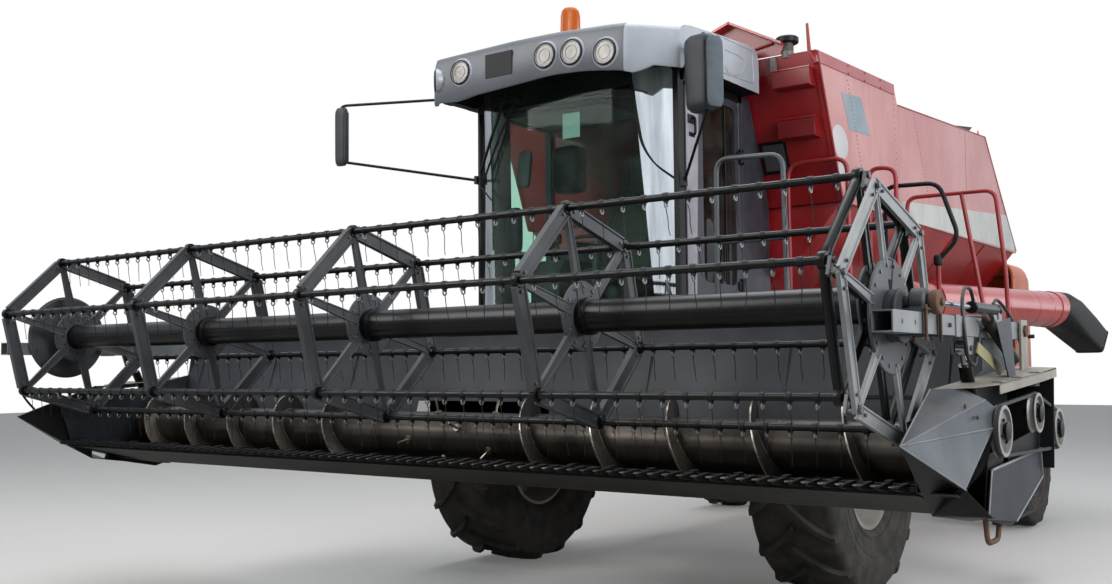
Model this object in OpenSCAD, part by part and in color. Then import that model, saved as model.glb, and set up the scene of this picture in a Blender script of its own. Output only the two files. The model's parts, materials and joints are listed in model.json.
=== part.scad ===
// Combine harvester with a wide grain header and tined reel.
// Faces -Y, +X is the machine's left, +Z up, ground at Z = 0, millimetres.
// Inside a node, Y and Z are counted from the reel axis, which placed() moves.

/* [Place] */
// Y of the reel axis in the shared frame
reel_y = -4285; // [-5000:1:-3500]

/* [Reel] */
// Radius from the reel axis to a bat
reel_r = 535; // [450:5:600]
// Angle of the first bat from the rearward direction
reel_phase = 104.1; // [90:0.1:150]
// Radius of the reel's centre tube
reel_tube_r = 80; // [50:1:100]
// Distance between two spiders
spider_gap = 1457; // [1200:1:1600]
// Radius of a bat tube
bat_r = 17; // [12:1:25]
// Drop of a tine below its bat
tine_drop = 176; // [120:1:220]
// Tine spacing along a bat
tine_pitch = 116; // [80:1:160]
// Half thickness of a tine wire
tine_r = 3; // [2:0.5:5]
// Length of bat kept free of tines beside a spider
tine_free = 62; // [40:1:100]
// Width of a spider's rim bars
rim_w = 76; // [50:1:90]
// Depth of a spider's rim bars along the reel
rim_d = 34; // [20:1:40]
// Radius of the round tube that rims the left spider
loop_r = 22; // [16:1:30]
// Offset of the steering ring from the reel axis, rearwards
cam_dy = -30; // [-80:1:80]
// Offset of the steering ring from the reel axis, upwards
cam_dz = -50; // [-80:1:80]

/* [Header] */
// Half width between the end sheets
header_x = 3050; // [2500:10:3500]
// Auger axis behind the reel axis
auger_y = 660; // [500:5:800]
// Auger axis relative to the reel axis in height
auger_z = -650; // [-750:5:-550]
// Radius of the auger drum
drum_r = 140; // [100:5:180]
// Radius over the auger flights
flight_r = 235; // [180:5:300]
// Pitch of the auger flights
flight_pitch = 470; // [350:10:600]
// Thickness of a flight
flight_t = 8; // [5:1:12]
// Half length of the middle part with fingers instead of flights
finger_x = 560; // [400:10:700]
// Number of auger fingers
finger_n = 14; // [8:1:20]
// Sheet thickness of the pan
pan_t = 10; // [4:1:16]
// Size of the square reel arm
arm_w = 85; // [60:1:120]
// Reel arm centre line below the reel axis
arm_z = -85; // [-120:1:-60]
// Reel arm centre line from the middle plane
arm_x = 3104; // [3060:5:3200]
// Reel arm pivot behind the reel axis
arm_pivot_y = 1420; // [1200:10:1600]

// Spacing of the knife guards
guard_pitch = 76.2; // [70:0.1:90]
// Number of knife guards
guard_n = 80; // [60:1:80]
// Reach of a guard before the reel axis
guard_tip = 62; // [30:1:90]

/* [Feeder] */
// Header and feeder pivot behind the reel axis
feeder_pivot_y = 3200; // [3000:10:3400]
// Header and feeder pivot relative to the reel axis in height
feeder_pivot_z = -100; // [-200:10:0]
// Half width of the feeder house
feeder_x = 540; // [400:10:600]

/* [Wheels] */
// Front axle behind the reel axis
front_y = 3200; // [3000:10:3400]
// Front axle below the reel axis
axle_drop = 980; // [850:10:1100]
// Front tyre radius to the lug tips
front_r = 870; // [750:5:950]
// Front tyre width
front_w = 620; // [450:5:800]
// Front wheel centre from the middle plane
front_x = 1430; // [1300:5:1600]
// Lugs on each half of a front tyre's tread
front_lugs = 16; // [12:1:24]
// Height of a front tyre's lugs
front_lug_h = 42; // [25:1:60]
// Front rim radius
front_rim = 406; // [350:1:450]
// Rear axle behind the reel axis
rear_y = 7400; // [7000:10:7800]
// Rear tyre radius to the lug tips
rear_r = 650; // [500:5:750]
// Rear tyre width
rear_w = 440; // [300:5:550]
// Rear wheel centre from the middle plane
rear_x = 1595; // [1400:5:1700]
// Lugs on each half of a rear tyre's tread
rear_lugs = 14; // [10:1:20]
// Height of a rear tyre's lugs
rear_lug_h = 30; // [20:1:50]
// Rear rim radius
rear_rim = 305; // [250:1:350]
// King pin from the middle plane
king_x = 1180; // [1000:5:1300]

/* [Body] */
// Half width of the tank and hood
body_x = 1450; // [1300:10:1600]
// Height of the extension band along the tank's upper edge
tank_band = 85; // [60:5:120]
// Lower edge of the upright tank side, from the reel axis
side_z = 960; // [900:10:1050]
// Top of the tank, from the reel axis
tank_z = 2000; // [1900:10:2100]
// Rear end of the tank behind the reel axis
tank_end_y = 4650; // [4500:10:4850]
// Rear end of the straw hood behind the reel axis
hood_end_y = 9150; // [8900:10:9400]
// Half width of the straw hood
hood_x = 1420; // [1200:10:1450]
// Half width of the threshing body
core_x = 750; // [600:10:850]
// Thickness of a body panel
panel_t = 25; // [10:1:40]

/* [Cab] */
// Half width of the cab
cab_x = 880; // [750:10:950]
// Windscreen foot behind the reel axis
cab_y = 2020; // [1900:10:2200]
// Cab rear wall behind the reel axis
cab_end_y = 2930; // [2800:10:3000]
// Underside of the roof, from the reel axis
roof_z = 1740; // [1600:10:1800]

/* [Unloading auger] */
// Tube radius
tube_r = 175; // [120:5:220]
// Swing axis from the middle plane
swing_x = 1330; // [1200:5:1450]
// Swing axis behind the reel axis
swing_y = 5050; // [4800:10:5300]
// Tube axis height from the reel axis
tube_z = 300; // [200:10:400]

/* [Hidden] */
reel_h = front_r + axle_drop;
front_z = -axle_drop;
rear_z = rear_r - reel_h;
// Upper face of the platform, over the front tyre
tyre_gap = 70;
deck_t = 40;
deck_z = front_z + front_r + tyre_gap + deck_t;
// Clearance beside a front tyre
tyre_side = 40;
drive_x = front_x - front_w / 2 - tyre_side;
wheel_back_y = front_y + front_r + tyre_side;
// Hinge line of the side shields
hinge_x = 1338;
hinge_z = 44;
shield_hinges = [5300, 6500, 7700];
spiders = [for (i = [-2:2]) i * spider_gap];
tine_count = floor((spider_gap - 2 * tine_free) / tine_pitch) + 1;
tine_first = (spider_gap - (tine_count - 1) * tine_pitch) / 2;
bat_angles = [for (k = [0:5]) reel_phase + 60 * k];
arm_y0 = -430;
barrel_eye = [800, -640];
rod_eye = [560, -178];
header_barrel_eye = [3140, front_z - 200];
header_rod_eye = [1800, -850];
door_hinges = [300, 1250];
beacon_x = -140;
// Height of the left mirror's lower bracket
mirror_foot_z = 985;
// Wide post in the cab's right side: front and back
side_post = [2120, 2390];
// Arched lower edge of the roof's front: x, z
roof_arch = [[-790, 1690], [-644, 1742], [-223, 1776], [172, 1757], [545, 1703], [600, 1690]];
// Work lamps along the roof's front edge
lamp_x = [-700, 60, 280, 550];
// Roof corners in plan: right chamfer, then left
roof_right = [[-860, 1590], [-1010, 1750]];
roof_left = [[720, 1590], [1010, 1960]];
lamp_r = 92;
// Plan of the windscreen: depth of its bow and its points
bow = 150;
screen = [for (s = [-10:2:10]) [(cab_x - 50) * s / 10,
                                cab_y + 22 - bow * (1 - pow(abs(s) / 10, 3))]];
swing_angle = 13.7;
swing_len = 2620;
// Pulleys of the header drive: y, z, r
pulleys = [[543, -537, 112], [1149, -480, 95], [1563, -572, 100]];
pulley_gap = 10;
// Slot in the deck plate for a reel lift cylinder: half width, front, back
deck_slot = [46, 590, 785];
$fn = 48;

// Moves what is drawn from the reel axis into the shared frame
module placed() { translate([0, reel_y, reel_h]) children(); }

// Extrudes a Y-Z outline along X
module across(x0, x1) {
  translate([x0, 0, 0]) rotate([90, 0, 90]) linear_extrude(x1 - x0) children();
}

// Extrudes an X-Z outline along Y
module along(y0, y1) {
  translate([0, y1, 0]) rotate([90, 0, 0]) linear_extrude(y1 - y0) children();
}

module box(lo, hi) { translate(lo) cube(hi - lo); }

// Round bar between two points
module rod(a, b, r) {
  d = b - a;
  len = norm(d);
  translate(a) rotate([0, acos(d[2] / len), atan2(d[1], d[0])]) cylinder(h = len, r = r);
}

// Round tube bent through a list of points
module bent(pts, r) {
  for (i = [0:len(pts) - 2]) rod(pts[i], pts[i + 1], r);
  for (i = [1:len(pts) - 2]) translate(pts[i]) sphere(r = r * 1.15);
}

module both() { children(); mirror([1, 0, 0]) children(); }

module xcyl(x0, x1, y, z, r) {
  translate([x0, y, z]) rotate([0, 90, 0]) cylinder(h = x1 - x0, r = r);
}

// Side normal of the line through two points
function side(a, b) = [a[1] - b[1], b[0] - a[0]] / norm(b - a);
function bend(p, i) =
  i == 0 ? side(p[0], p[1]) :
  i == len(p) - 1 ? side(p[i - 1], p[i]) :
  let (m = side(p[i - 1], p[i]) + side(p[i], p[i + 1])) 2 * m / (m * m);

// Closed outline of a sheet of thickness t along a line of points
function band(p, t) = concat(p, [for (i = [len(p) - 1:-1:0]) p[i] + bend(p, i) * t]);

// header

trough = [for (a = [-115, -95, -75, -55, -35, -15])
          [auger_y + 262 * cos(a), auger_z + 262 * sin(a)]];
pan_line = concat([[95, -775]], trough, [[922, -650], [1080, -165], [1092, -20]]);

module header_pan() placed() color("DimGray") {
  difference() {
    union() {
      across(-header_x, header_x) polygon(band(pan_line, -pan_t));
      across(-header_x, header_x) translate([1098, -165]) square([110, 145]);
      across(-header_x, header_x) translate([1000, -905]) square([208, 100]);
      for (x = [-2900, -2050, -1200, 1200, 2050, 2900])
        across(x - 15, x + 15)
          polygon([[640, -920], [1010, -905], [1120, -820], [1200, -30], [1100, -30],
                   [930, -640], [880, -810], [735, -914]]);
    }
    box([-feeder_x, 830, -790], [feeder_x, 1250, -180]);
  }
}

// Corners of the crop divider's folded nose, from its tip
nose = [[3118, -318, -556], [3060, 240, -352], [3150, 400, -352], [3250, 370, -398],
        [3262, 520, -446], [3258, 350, -655], [3250, 60, -748], [3250, 440, -900],
        [3060, 220, -880], [3060, 440, -935]];

module end_sheet() {
  polygon([[60, -770], [549, -900], [870, -960], [1120, -905], [1430, -770], [1490, -255],
           [1080, -20], [1040, -280], [420, -410], [-40, -480]]);
}

module header_ends() placed() color("SlateGray") {
  both() difference() {
    union() {
      across(header_x, header_x + 6) end_sheet();
      across(3205, 3213) polygon([[200, -620], [370, -900], [860, -960], [1430, -770],
                                  [1690, -640], [1680, -480], [1490, -255], [420, -410]]);
      across(header_x, 3213) polygon(band([[60, -770], [549, -900], [870, -960],
                                           [1120, -905], [1430, -770]], 8));
      across(3040, 3052) polygon([[1340, -340], [1480, -262], [1480, -30], [1360, -30]]);
      across(3152, 3164) polygon([[1340, -360], [1480, -290], [1480, -30], [1360, -30]]);
      box([3152, 1400, -360], [3213, 1480, -300]);
      xcyl(3045, 3170, arm_pivot_y, arm_z, 20);
      xcyl(3050, 3175, barrel_eye[0], barrel_eye[1], 15);
      box([3150, 760, -690], [3213, 840, -590]);
    }
    xcyl(3030, 3080, auger_y, auger_z, 25.4);
  }
  // nose, with a pocket for the first pulley
  both() difference() {
    hull() polyhedron(nose, [[for (i = [0:len(nose) - 1]) i]]);
    xcyl(3238, 3300, pulleys[0][0], pulleys[0][1], pulleys[0][2] + 8 + pulley_gap);
  }
  both() across(3213, 3221) polygon([[420, -620], [1500, -700], [1380, -800], [860, -1000],
                                    [430, -960]]);
  both() bent([[3180, 560, -898], [3180, 560, -1030], [3180, 780, -1030], [3180, 780, -938]],
                12);
  // deck plate between the nose and the rear end, with a turned down edge
  both() intersection() {
    across(header_x, 3290) polygon(band([[300, -352], [1500, -268]], -46));
    difference() {
      translate([0, 0, -500]) linear_extrude(300)
        polygon([[header_x + 1, 300], [3200, 400], [3262, 560], [3290, 1250], [3290, 1499],
                 [header_x + 1, 1499]]);
      across(header_x, 3284) polygon([[200, -520], [200, -368], [1490, -278], [1490, -520]]);
      box([arm_x - deck_slot[0], deck_slot[1], -520], [arm_x + deck_slot[0], deck_slot[2], -200]);
    }
  }
  // plain disc that makes the far side as wide as the pulley side
  mirror([1, 0, 0]) xcyl(3213, 3300, 1149, -480, 120);
}

module knife_bar() placed() color("Gray") {
  across(-header_x, header_x) polygon([[30, -750], [30, -743.5], [60, -738], [110, -742],
                                      [110, -775], [90, -775], [50, -765]]);
  for (i = [0:guard_n - 1]) {
    x = (i - (guard_n - 1) / 2) * guard_pitch;
    // guard between its top and side outlines
    intersection() {
      across(x - 18, x + 18) polygon([[-guard_tip, -750], [-guard_tip, -746], [20, -733],
                                      [104, -735], [104, -771], [20, -765]]);
      translate([0, 0, -800]) linear_extrude(100)
        polygon([[x - 3, -guard_tip - 1], [x + 3, -guard_tip - 1], [x + 17, 60], [x + 17, 104.5],
                 [x - 17, 104.5], [x - 17, 60]]);
    }
    // knife section beside the guard
    if (i < guard_n - 1) translate([x + guard_pitch / 2, 0, -747.5]) linear_extrude(3.7)
      polygon([[-34, 62], [-34, 40], [-10, -12], [10, -12], [34, 40], [34, 62]]);
  }
}

module header_drive() placed() color("Black") {
  for (p = pulleys) {
    xcyl(3213, 3290, p[0], p[1], 25);
    xcyl(3245, 3285, p[0], p[1], p[2]);
    xcyl(3285, 3300, p[0], p[1], 45);
  }
  across(3255, 3275) difference() {
    hull() for (p = pulleys) translate([p[0], p[1]]) circle(p[2] + 8);
    hull() for (p = pulleys) translate([p[0], p[1]]) circle(p[2] - 1);
  }
}

// Flight of a whole number of quarter turns along +Z, of straight slices
module flight(quarters) {
  len = quarters * flight_pitch / 4;
  arc = 360 * flight_t / flight_pitch;
  linear_extrude(len, twist = -90 * quarters, slices = quarters * 6, $fn = 4)
    polygon(concat([for (a = [0, arc]) (drum_r - 8) * [cos(a), sin(a)]],
                   [for (a = [arc, 0]) flight_r * [cos(a), sin(a)]]));
}

module header_auger() placed() color("Sienna") translate([0, auger_y, auger_z]) {
  xcyl(-2985, 2985, 0, 0, drum_r);
  xcyl(-3055, 3055, 0, 0, 25);
  turns = floor((2965 - finger_x) * 4 / flight_pitch);
  translate([finger_x, 0, 0]) rotate([0, 90, 0]) flight(turns);
  translate([-finger_x, 0, 0]) rotate([0, -90, 0]) mirror([0, 1, 0]) flight(turns);
  for (n = [0:finger_n - 1]) {
    x = (finger_x - 60) * (2 * n / (finger_n - 1) - 1);
    rotate([137.5 * n, 0, 0]) translate([x, 0, drum_r - 10]) {
      cylinder(h = flight_r - drum_r + 7, r = 8);
      cylinder(h = 24, r = 24);
    }
  }
}

module feeder_house() placed() color("DarkSlateGray") {
  difference() {
    across(-feeder_x, feeder_x)
      polygon([[1208, -830], [1208, -180], [feeder_pivot_y - 50, feeder_pivot_z + 40],
               [feeder_pivot_y - 50, feeder_pivot_z - 500], [2600, -690]]);
    across(-feeder_x + 20, feeder_x - 20)
      polygon([[1150, -805], [1150, -203], [feeder_pivot_y + 50, feeder_pivot_z + 25],
               [feeder_pivot_y + 50, feeder_pivot_z - 475], [2600, -665]]);
  }
  both() xcyl(feeder_x, 655, feeder_pivot_y, feeder_pivot_z, 40);
  both() across(feeder_x - 20, feeder_x)
    translate([feeder_pivot_y, feeder_pivot_z])
      polygon([[-100, -150], [-100, 40], [-20, 60], [50, 40], [50, -50], [-10, -150]]);
  both() for (x = [290, 390])
    across(x, x + 20) polygon([[1690, -770], [1910, -750], [1840, -890], [1760, -890]]);
  // flange that takes the header
  along(1208, 1232) difference() {
    translate([-640, -905]) square([1280, 860]);
    translate([-feeder_x + 20, -800]) square([2 * feeder_x - 40, 600]);
  }
  both() xcyl(290, 410, header_rod_eye[0], header_rod_eye[1], 18);
}

// reel

module reel_arms() placed() color("Silver") {
  both() {
    difference() {
      box([arm_x - arm_w / 2, arm_y0, arm_z - arm_w / 2],
          [arm_x + arm_w / 2, arm_pivot_y + 50, arm_z + arm_w / 2]);
      box([arm_x - arm_w / 2 + 6, arm_y0 - 1, arm_z - arm_w / 2 + 6],
          [arm_x + arm_w / 2 - 6, 300, arm_z + arm_w / 2 - 6]);
      xcyl(arm_x - 60, arm_x + 60, arm_pivot_y, arm_z, 20.5);
    }
    for (x = [arm_x - 38, arm_x + 26])
      across(x, x + 12) polygon([[500, -120], [620, -120], [588, -200], [532, -200]]);
    xcyl(arm_x - 38, arm_x + 38, rod_eye[0], rod_eye[1], 12);
    difference() {
      translate([arm_x, 720, 10]) rotate([-90, 0, 0]) cylinder(h = 420, r = 28);
      translate([arm_x, 700, 10]) rotate([-90, 0, 0]) cylinder(h = 400, r = 14);
    }
    box([arm_x - 20, 1020, -45], [arm_x + 20, 1080, -10]);
  }
}

// One cylinder barrel or rod between two eyes in the plane x
function eye_dir(a, b) = (b - a) / norm(b - a);
module barrel(x, a, b, share, r, pin, bore) {
  d = eye_dir(a, b);
  l = norm(b - a) * share;
  difference() {
    union() {
      rod([x, a[0] + d[0] * (pin + 14), a[1] + d[1] * (pin + 14)],
          [x, a[0] + d[0] * l, a[1] + d[1] * l], r);
      xcyl(x - r * 0.7, x + r * 0.7, a[0], a[1], pin + 16);
    }
    xcyl(x - r - 5, x + r + 5, a[0], a[1], pin + 0.5);
    rod([x, a[0] + d[0] * (pin + 40), a[1] + d[1] * (pin + 40)],
        [x, a[0] + d[0] * (l + 10), a[1] + d[1] * (l + 10)], bore);
  }
}

module piston(x, a, b, share, r, pin) {
  d = eye_dir(a, b);
  l = norm(b - a) * share;
  difference() {
    union() {
      rod([x, a[0] + d[0] * l, a[1] + d[1] * l],
          [x, b[0] - d[0] * (pin + 14), b[1] - d[1] * (pin + 14)], r);
      xcyl(x - r - 3, x + r + 3, b[0], b[1], pin + 22);
    }
    xcyl(x - r - 9, x + r + 9, b[0], b[1], pin + 9);
  }
}

module reel_lift_barrels() placed() color("Black")
  both() barrel(arm_x, barrel_eye, rod_eye, 0.84, 30, 15, 16.4);

module reel_lift_rods() placed() color("LightGray")
  both() piston(arm_x, barrel_eye, rod_eye, 0.115, 16, 12);

module header_lift_barrels() placed() color("Black")
  both() barrel(350, header_barrel_eye, header_rod_eye, 0.72, 48, 24, 27.4);

module header_lift_rods() placed() color("LightGray")
  both() piston(350, header_barrel_eye, header_rod_eye, 0.29, 27, 18);

module reel_carriage() placed() color("DimGray") {
  in = arm_w / 2 + 0.5;
  out = arm_w / 2 + 10;
  both() {
    difference() {
      union() {
        box([arm_x - out, -110, arm_z - out], [arm_x + out, 110, arm_z + out]);
        box([arm_x - 30, -70, arm_z + out - 1], [arm_x + 40, 70, 60]);
      }
      box([arm_x - in, -120, arm_z - in], [arm_x + in, 120, arm_z + in]);
      xcyl(arm_x - 80, arm_x + 80, 0, 0, 30.5);
    }
    difference() {
      translate([arm_x, 50, 10]) rotate([-90, 0, 0]) cylinder(h = 950, r = 12);
      xcyl(arm_x - 80, arm_x + 80, 0, 0, 45);
    }
  }
  difference() {
    union() {
      xcyl(2975, 3054, cam_dy, cam_dz, 106);
    }
    xcyl(2970, 3060, 0, 0, 36);
  }
  difference() {
    xcyl(-3054, -3030, 0, 0, 290);
    xcyl(-3060, -3010, 0, 0, 36);
  }
}

// Rim bar from one bat to the next, of round tube on the left spider
module rim_bar(round_bar) {
  rotate([30, 0, 0]) translate([0, reel_r * cos(30), 0]) {
    if (round_bar)
      translate([0, 0, -reel_r / 2]) cylinder(h = reel_r, r = loop_r);
    else
      box([-rim_d / 2, -rim_w / 2, -reel_r / 2 + 24], [rim_d / 2, rim_w / 2, reel_r / 2 - 24]);
  }
}

module spider(x) {
  for (a = bat_angles) translate([x, 0, 0]) rotate([a, 0, 0]) {
    box([-11, 140, -24], [11, reel_r - 24, 24]);
    rim_bar(x == spiders[4]);
  }
  xcyl(x - 7, x + 7, 0, 0, 170);
}

module reel_rotor() placed() color("DarkSlateGray") {
  xcyl(-2930, 2930, 0, 0, reel_tube_r);
  xcyl(-3140, 3140, 0, 0, 30);
  difference() {
    union() {
      for (x = spiders) spider(x);
      for (x = spiders, a = bat_angles)
        xcyl(x - rim_d / 2 + 1, x + rim_d / 2 - 1, reel_r * cos(a), reel_r * sin(a), 35);
    }
    for (a = bat_angles) xcyl(-2980, 2980, reel_r * cos(a), reel_r * sin(a), bat_r + 0.6);
  }
}

module bat(k) placed() color("Black") {
  y = reel_r * cos(bat_angles[k]);
  z = reel_r * sin(bat_angles[k]);
  xcyl(-2950, 2955, y, z, bat_r);
  // tines on their mounts
  for (i = [0:3], n = [0:tine_count - 1])
    translate([spiders[i] + tine_first + n * tine_pitch, y, z]) {
      xcyl(-15, 15, 0, 0, bat_r + 6);
      box([-8, -7, -bat_r - 24], [8, 7, -bat_r + 3]);
      box([-tine_r, 7 - tine_r, -tine_drop], [tine_r, 7 + tine_r, -bat_r - 10]);
    }
  across(2941, 2955) polygon([[y - 16, z + 16], [y + 18, z + 10], [y + cam_dy + 16, z + cam_dz - 14],
                              [y + cam_dy - 16, z + cam_dz - 8]]);
  xcyl(2941, 3004, y + cam_dy, z + cam_dz, 9);
}

module bat_1() bat(0);
module bat_2() bat(1);
module bat_3() bat(2);
module bat_4() bat(3);
module bat_5() bat(4);
module bat_6() bat(5);

function hexagon(r) = [for (a = bat_angles) [r * cos(a), r * sin(a)]];

module reel_cam() placed() color("Gray") translate([0, cam_dy, cam_dz]) difference() {
  union() {
    xcyl(2984, 3004, 0, 0, 235);
    for (a = bat_angles) rotate([a, 0, 0]) box([2988, 150, -19], [3000, reel_r - 20, 19]);
    across(2986, 3002) difference() {
      polygon(hexagon(reel_r + 37));
      polygon(hexagon(reel_r - 37));
    }
  }
  xcyl(2970, 3020, 0, 0, 106.4);
  for (a = bat_angles) xcyl(2970, 3020, reel_r * cos(a), reel_r * sin(a), 9.6);
}

// carrier and wheels

module chassis() placed() color("DimGray") {
  both() {
    box([560, front_y - 100, -1000], [660, 7900, -800]);
    // cab carriers
    box([660, 2100, -60], [720, 3380, 0]);
    box([drive_x - 230, front_y - 170, front_z - 200], [drive_x, front_y + 170, front_z + 200]);
    xcyl(drive_x, front_x + 60, front_y, front_z, 90);
    box([560, feeder_pivot_y + 90, -1000], [660, feeder_pivot_y + 180, 60]);
    difference() {
      box([610, feeder_pivot_y - 80, feeder_pivot_z - 70],
          [650, feeder_pivot_y + 180, feeder_pivot_z + 140]);
      xcyl(590, 670, feeder_pivot_y, feeder_pivot_z, 40.4);
    }
    for (x = [275, 400])
      box([x, header_barrel_eye[0] - 40, header_barrel_eye[1] - 50], [x + 25, front_y, front_z - 100]);
    xcyl(275, 425, header_barrel_eye[0], header_barrel_eye[1], 24);
  }
  box([-drive_x + 220, front_y - 110, front_z - 110], [drive_x - 220, front_y + 110, front_z + 110]);
  for (y = [3300, 5200, 7700]) box([-560, y, -1000], [560, y + 90, -860]);
  // rear axle on its rocking pin
  box([-king_x + 60, rear_y - 70, rear_z - 70], [king_x - 60, rear_y + 70, rear_z + 70]);
  both() translate([king_x, rear_y, rear_z - 80]) cylinder(h = 160, r = 62);
  both() translate([king_x, rear_y, rear_z - 130]) cylinder(h = 260, r = 25);
  for (y = [-130, 90]) box([-160, rear_y + y, rear_z - 90], [160, rear_y + y + 40, -860]);
  translate([0, rear_y - 130, rear_z]) rotate([-90, 0, 0]) cylinder(h = 260, r = 35);
  box([-560, rear_y - 140, -1000], [560, rear_y + 140, -900]);
  // tow hitch
  difference() {
    union() {
      box([-60, 7850, -1000], [60, 8060, -970]);
      box([-60, 7850, -900], [60, 8060, -870]);
      box([-60, 7780, -1000], [60, 7870, -870]);
    }
    translate([0, 7985, -1010]) cylinder(h = 160, r = 16);
  }
}

module wheel_rim(w, r, hub, hole) {
  rotate([0, 90, 0]) difference() {
    rotate_extrude() polygon([[r - 16, -w * 0.40], [r, -w * 0.40], [r, w * 0.40],
      [r - 16, w * 0.40], [r - 34, w * 0.2], [r - 60, 30], [hub + 30, 30], [hub + 20, 60],
      [hole, 60], [hole, -60], [hub + 20, -60], [hub + 30, 0], [r - 60, 0],
      [r - 34, -w * 0.2]]);
    for (a = [0:45:315]) rotate([0, 0, a]) translate([hub + 5, 0, -70]) cylinder(h = 140, r = 9);
  }
}

// Tyre of outer radius r whose tread carries n lugs on each half
module tyre(w, r, rim, n, lug) {
  base = r - lug;
  wide = w * 0.46;
  half = (wide + lug) / 2 / cos(45);
  rotate([0, 90, 0]) {
    rotate_extrude() polygon([[rim, -w * 0.38], [rim + 30, -w * 0.44],
      [rim + (r - rim) * 0.5, -w * 0.5], [base - 20, -w * 0.47], [base, -w * 0.40],
      [base, w * 0.40], [base - 20, w * 0.47], [rim + (r - rim) * 0.5, w * 0.5],
      [rim + 30, w * 0.44], [rim, w * 0.38]]);
    intersection() {
      rotate_extrude() polygon([[base - 12, -wide], [r - 14, -wide + 8], [r, -w * 0.32],
                                [r, w * 0.32], [r - 14, wide - 8], [base - 12, wide]]);
      for (s = [-1, 1], i = [0:n - 1])
        rotate([0, 0, (i + s * 0.25) * 360 / n]) translate([0, 0, s * (wide - lug) / 2])
          rotate([s * 45, 0, 0]) box([base - 40, -lug / 2, -half], [r + 10, lug / 2, half]);
    }
  }
}

module front_at(s) placed() translate([s * front_x, front_y, front_z])
  scale([s, 1, 1]) children();
module rear_at(s) placed() translate([s * rear_x, rear_y, rear_z])
  scale([s, 1, 1]) children();

module front_tyre() tyre(front_w, front_r, front_rim, front_lugs, front_lug_h);
module rear_tyre() tyre(rear_w, rear_r, rear_rim, rear_lugs, rear_lug_h);

module rim_front_left() color("Silver") front_at(1) wheel_rim(front_w, front_rim, 150, 90.4);
module rim_front_right() color("Silver") front_at(-1) wheel_rim(front_w, front_rim, 150, 90.4);
module tyre_front_left() color("Black") front_at(1) front_tyre();
module tyre_front_right() color("Black") front_at(-1) front_tyre();
module rim_rear_left() color("Silver") rear_at(1) wheel_rim(rear_w, rear_rim, 95, 45.4);
module rim_rear_right() color("Silver") rear_at(-1) wheel_rim(rear_w, rear_rim, 95, 45.4);
module tyre_rear_left() color("Black") rear_at(1) rear_tyre();
module tyre_rear_right() color("Black") rear_at(-1) rear_tyre();

module knuckle() {
  translate([king_x, rear_y, rear_z]) {
    difference() {
      union() {
        translate([0, 0, 84]) cylinder(h = 40, r = 55);
        translate([0, 0, -124]) cylinder(h = 40, r = 55);
        box([0, -55, 84], [110, 55, 124]);
        box([0, -55, -124], [110, 55, -84]);
        box([70, -55, -124], [110, 55, 124]);
      }
      translate([0, 0, -140]) cylinder(h = 280, r = 25.5);
    }
    xcyl(110, rear_x - king_x + 70, 0, 0, 45);
  }
}
module knuckle_left() color("DimGray") placed() knuckle();
module knuckle_right() color("DimGray") placed() mirror([1, 0, 0]) knuckle();

// body

module body_shell() placed() color("DarkRed") {
  difference() {
    union() {
      along(3420, 8300) polygon([[-core_x, -800], [core_x, -800], [core_x, 300], [1100, 560],
        [body_x - 20, side_z], [-body_x + 20, side_z], [-1100, 560],
        [-core_x, 300]]);
      both() box([1290, wheel_back_y, -700], [1320, 4790, deck_z - 60]);
      both() for (y = [wheel_back_y + 40, 4740])
        box([core_x, y, deck_z - 120], [1290, y + 30, deck_z - 60]);
      both() box([1290, 4790, 44], [1320, 7950, 90]);
      both() for (y = shield_hinges) shield_pin(y);
      both() for (y = [4800, 7900]) box([core_x, y, 56], [1290, y + 30, 90]);
      translate([swing_x, swing_y, 50]) cylinder(h = 50, r = 150);
      box([core_x, swing_y - 60, 50], [swing_x, swing_y + 60, 90]);
    }
  }
  box([-540, 3385, 100], [540, 3425, 500]);
}

// Lugs and pin that a side shield's hinge turns on
module shield_pin(y) {
  for (d = [-45, 33]) along(y + d, y + d + 12)
    polygon([[1300, 50], [1300, 70], [hinge_x + 8, 56], [hinge_x + 8, 36], [hinge_x - 7, 36],
             [hinge_x - 7, 50]]);
  translate([hinge_x, y - 45, hinge_z]) rotate([-90, 0, 0]) cylinder(h = 90, r = 6);
}

tank_flap = [[600, tank_z - 10], [660, tank_z + 255], [800, tank_z + 305], [1220, tank_z + 80],
             [1180, tank_z - 10]];

// Depth of the tank's front wall at a height
function wall_y(z) = 3395 - 420 * (z - side_z) / (tank_z - side_z);

module grain_tank() placed() color("Red") {
  o = [[3395, side_z], [2975, tank_z], [tank_end_y - 80, tank_z + 65], [tank_end_y, tank_z - 95],
       [tank_end_y, side_z]];
  difference() {
    across(-body_x, body_x) polygon(o);
    across(-body_x + panel_t, body_x - panel_t)
      polygon([[3425, side_z + panel_t], [2990, tank_z + 100], [tank_end_y - panel_t, tank_z + 100],
               [tank_end_y - panel_t, side_z + panel_t]]);
  }
  // extension band proud of both sides
  both() across(body_x - 10, body_x + 8)
    polygon(band([[2981, tank_z - 2], [tank_end_y - 82, tank_z + 63]], -tank_band));
  // lifted middle flap and the folded one at the left corner
  across(-770, 590) polygon(band([[2990, tank_z], [2870, tank_z + 185]], -12));
  along(2962, 3062) polygon(tank_flap);
  // intake cap and corner pole
  translate([1250, 3010, tank_z - 20]) cylinder(h = 150, r = 62);
  rod([1380, 2975, tank_z + 200], [body_x + 8, 3380, side_z + 10], 14);
  box([1370, 2975, tank_z - 60], [1450, 3003, tank_z + 20]);
  // box steps on the sloping front wall
  for (z = [1430, 1760])
    across(1200, 1400) polygon([[wall_y(z) + 8, z], [wall_y(z) - 120, z], [wall_y(z) - 120, z + 190],
                                [wall_y(z + 190) + 8, z + 190]]);
}

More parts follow.
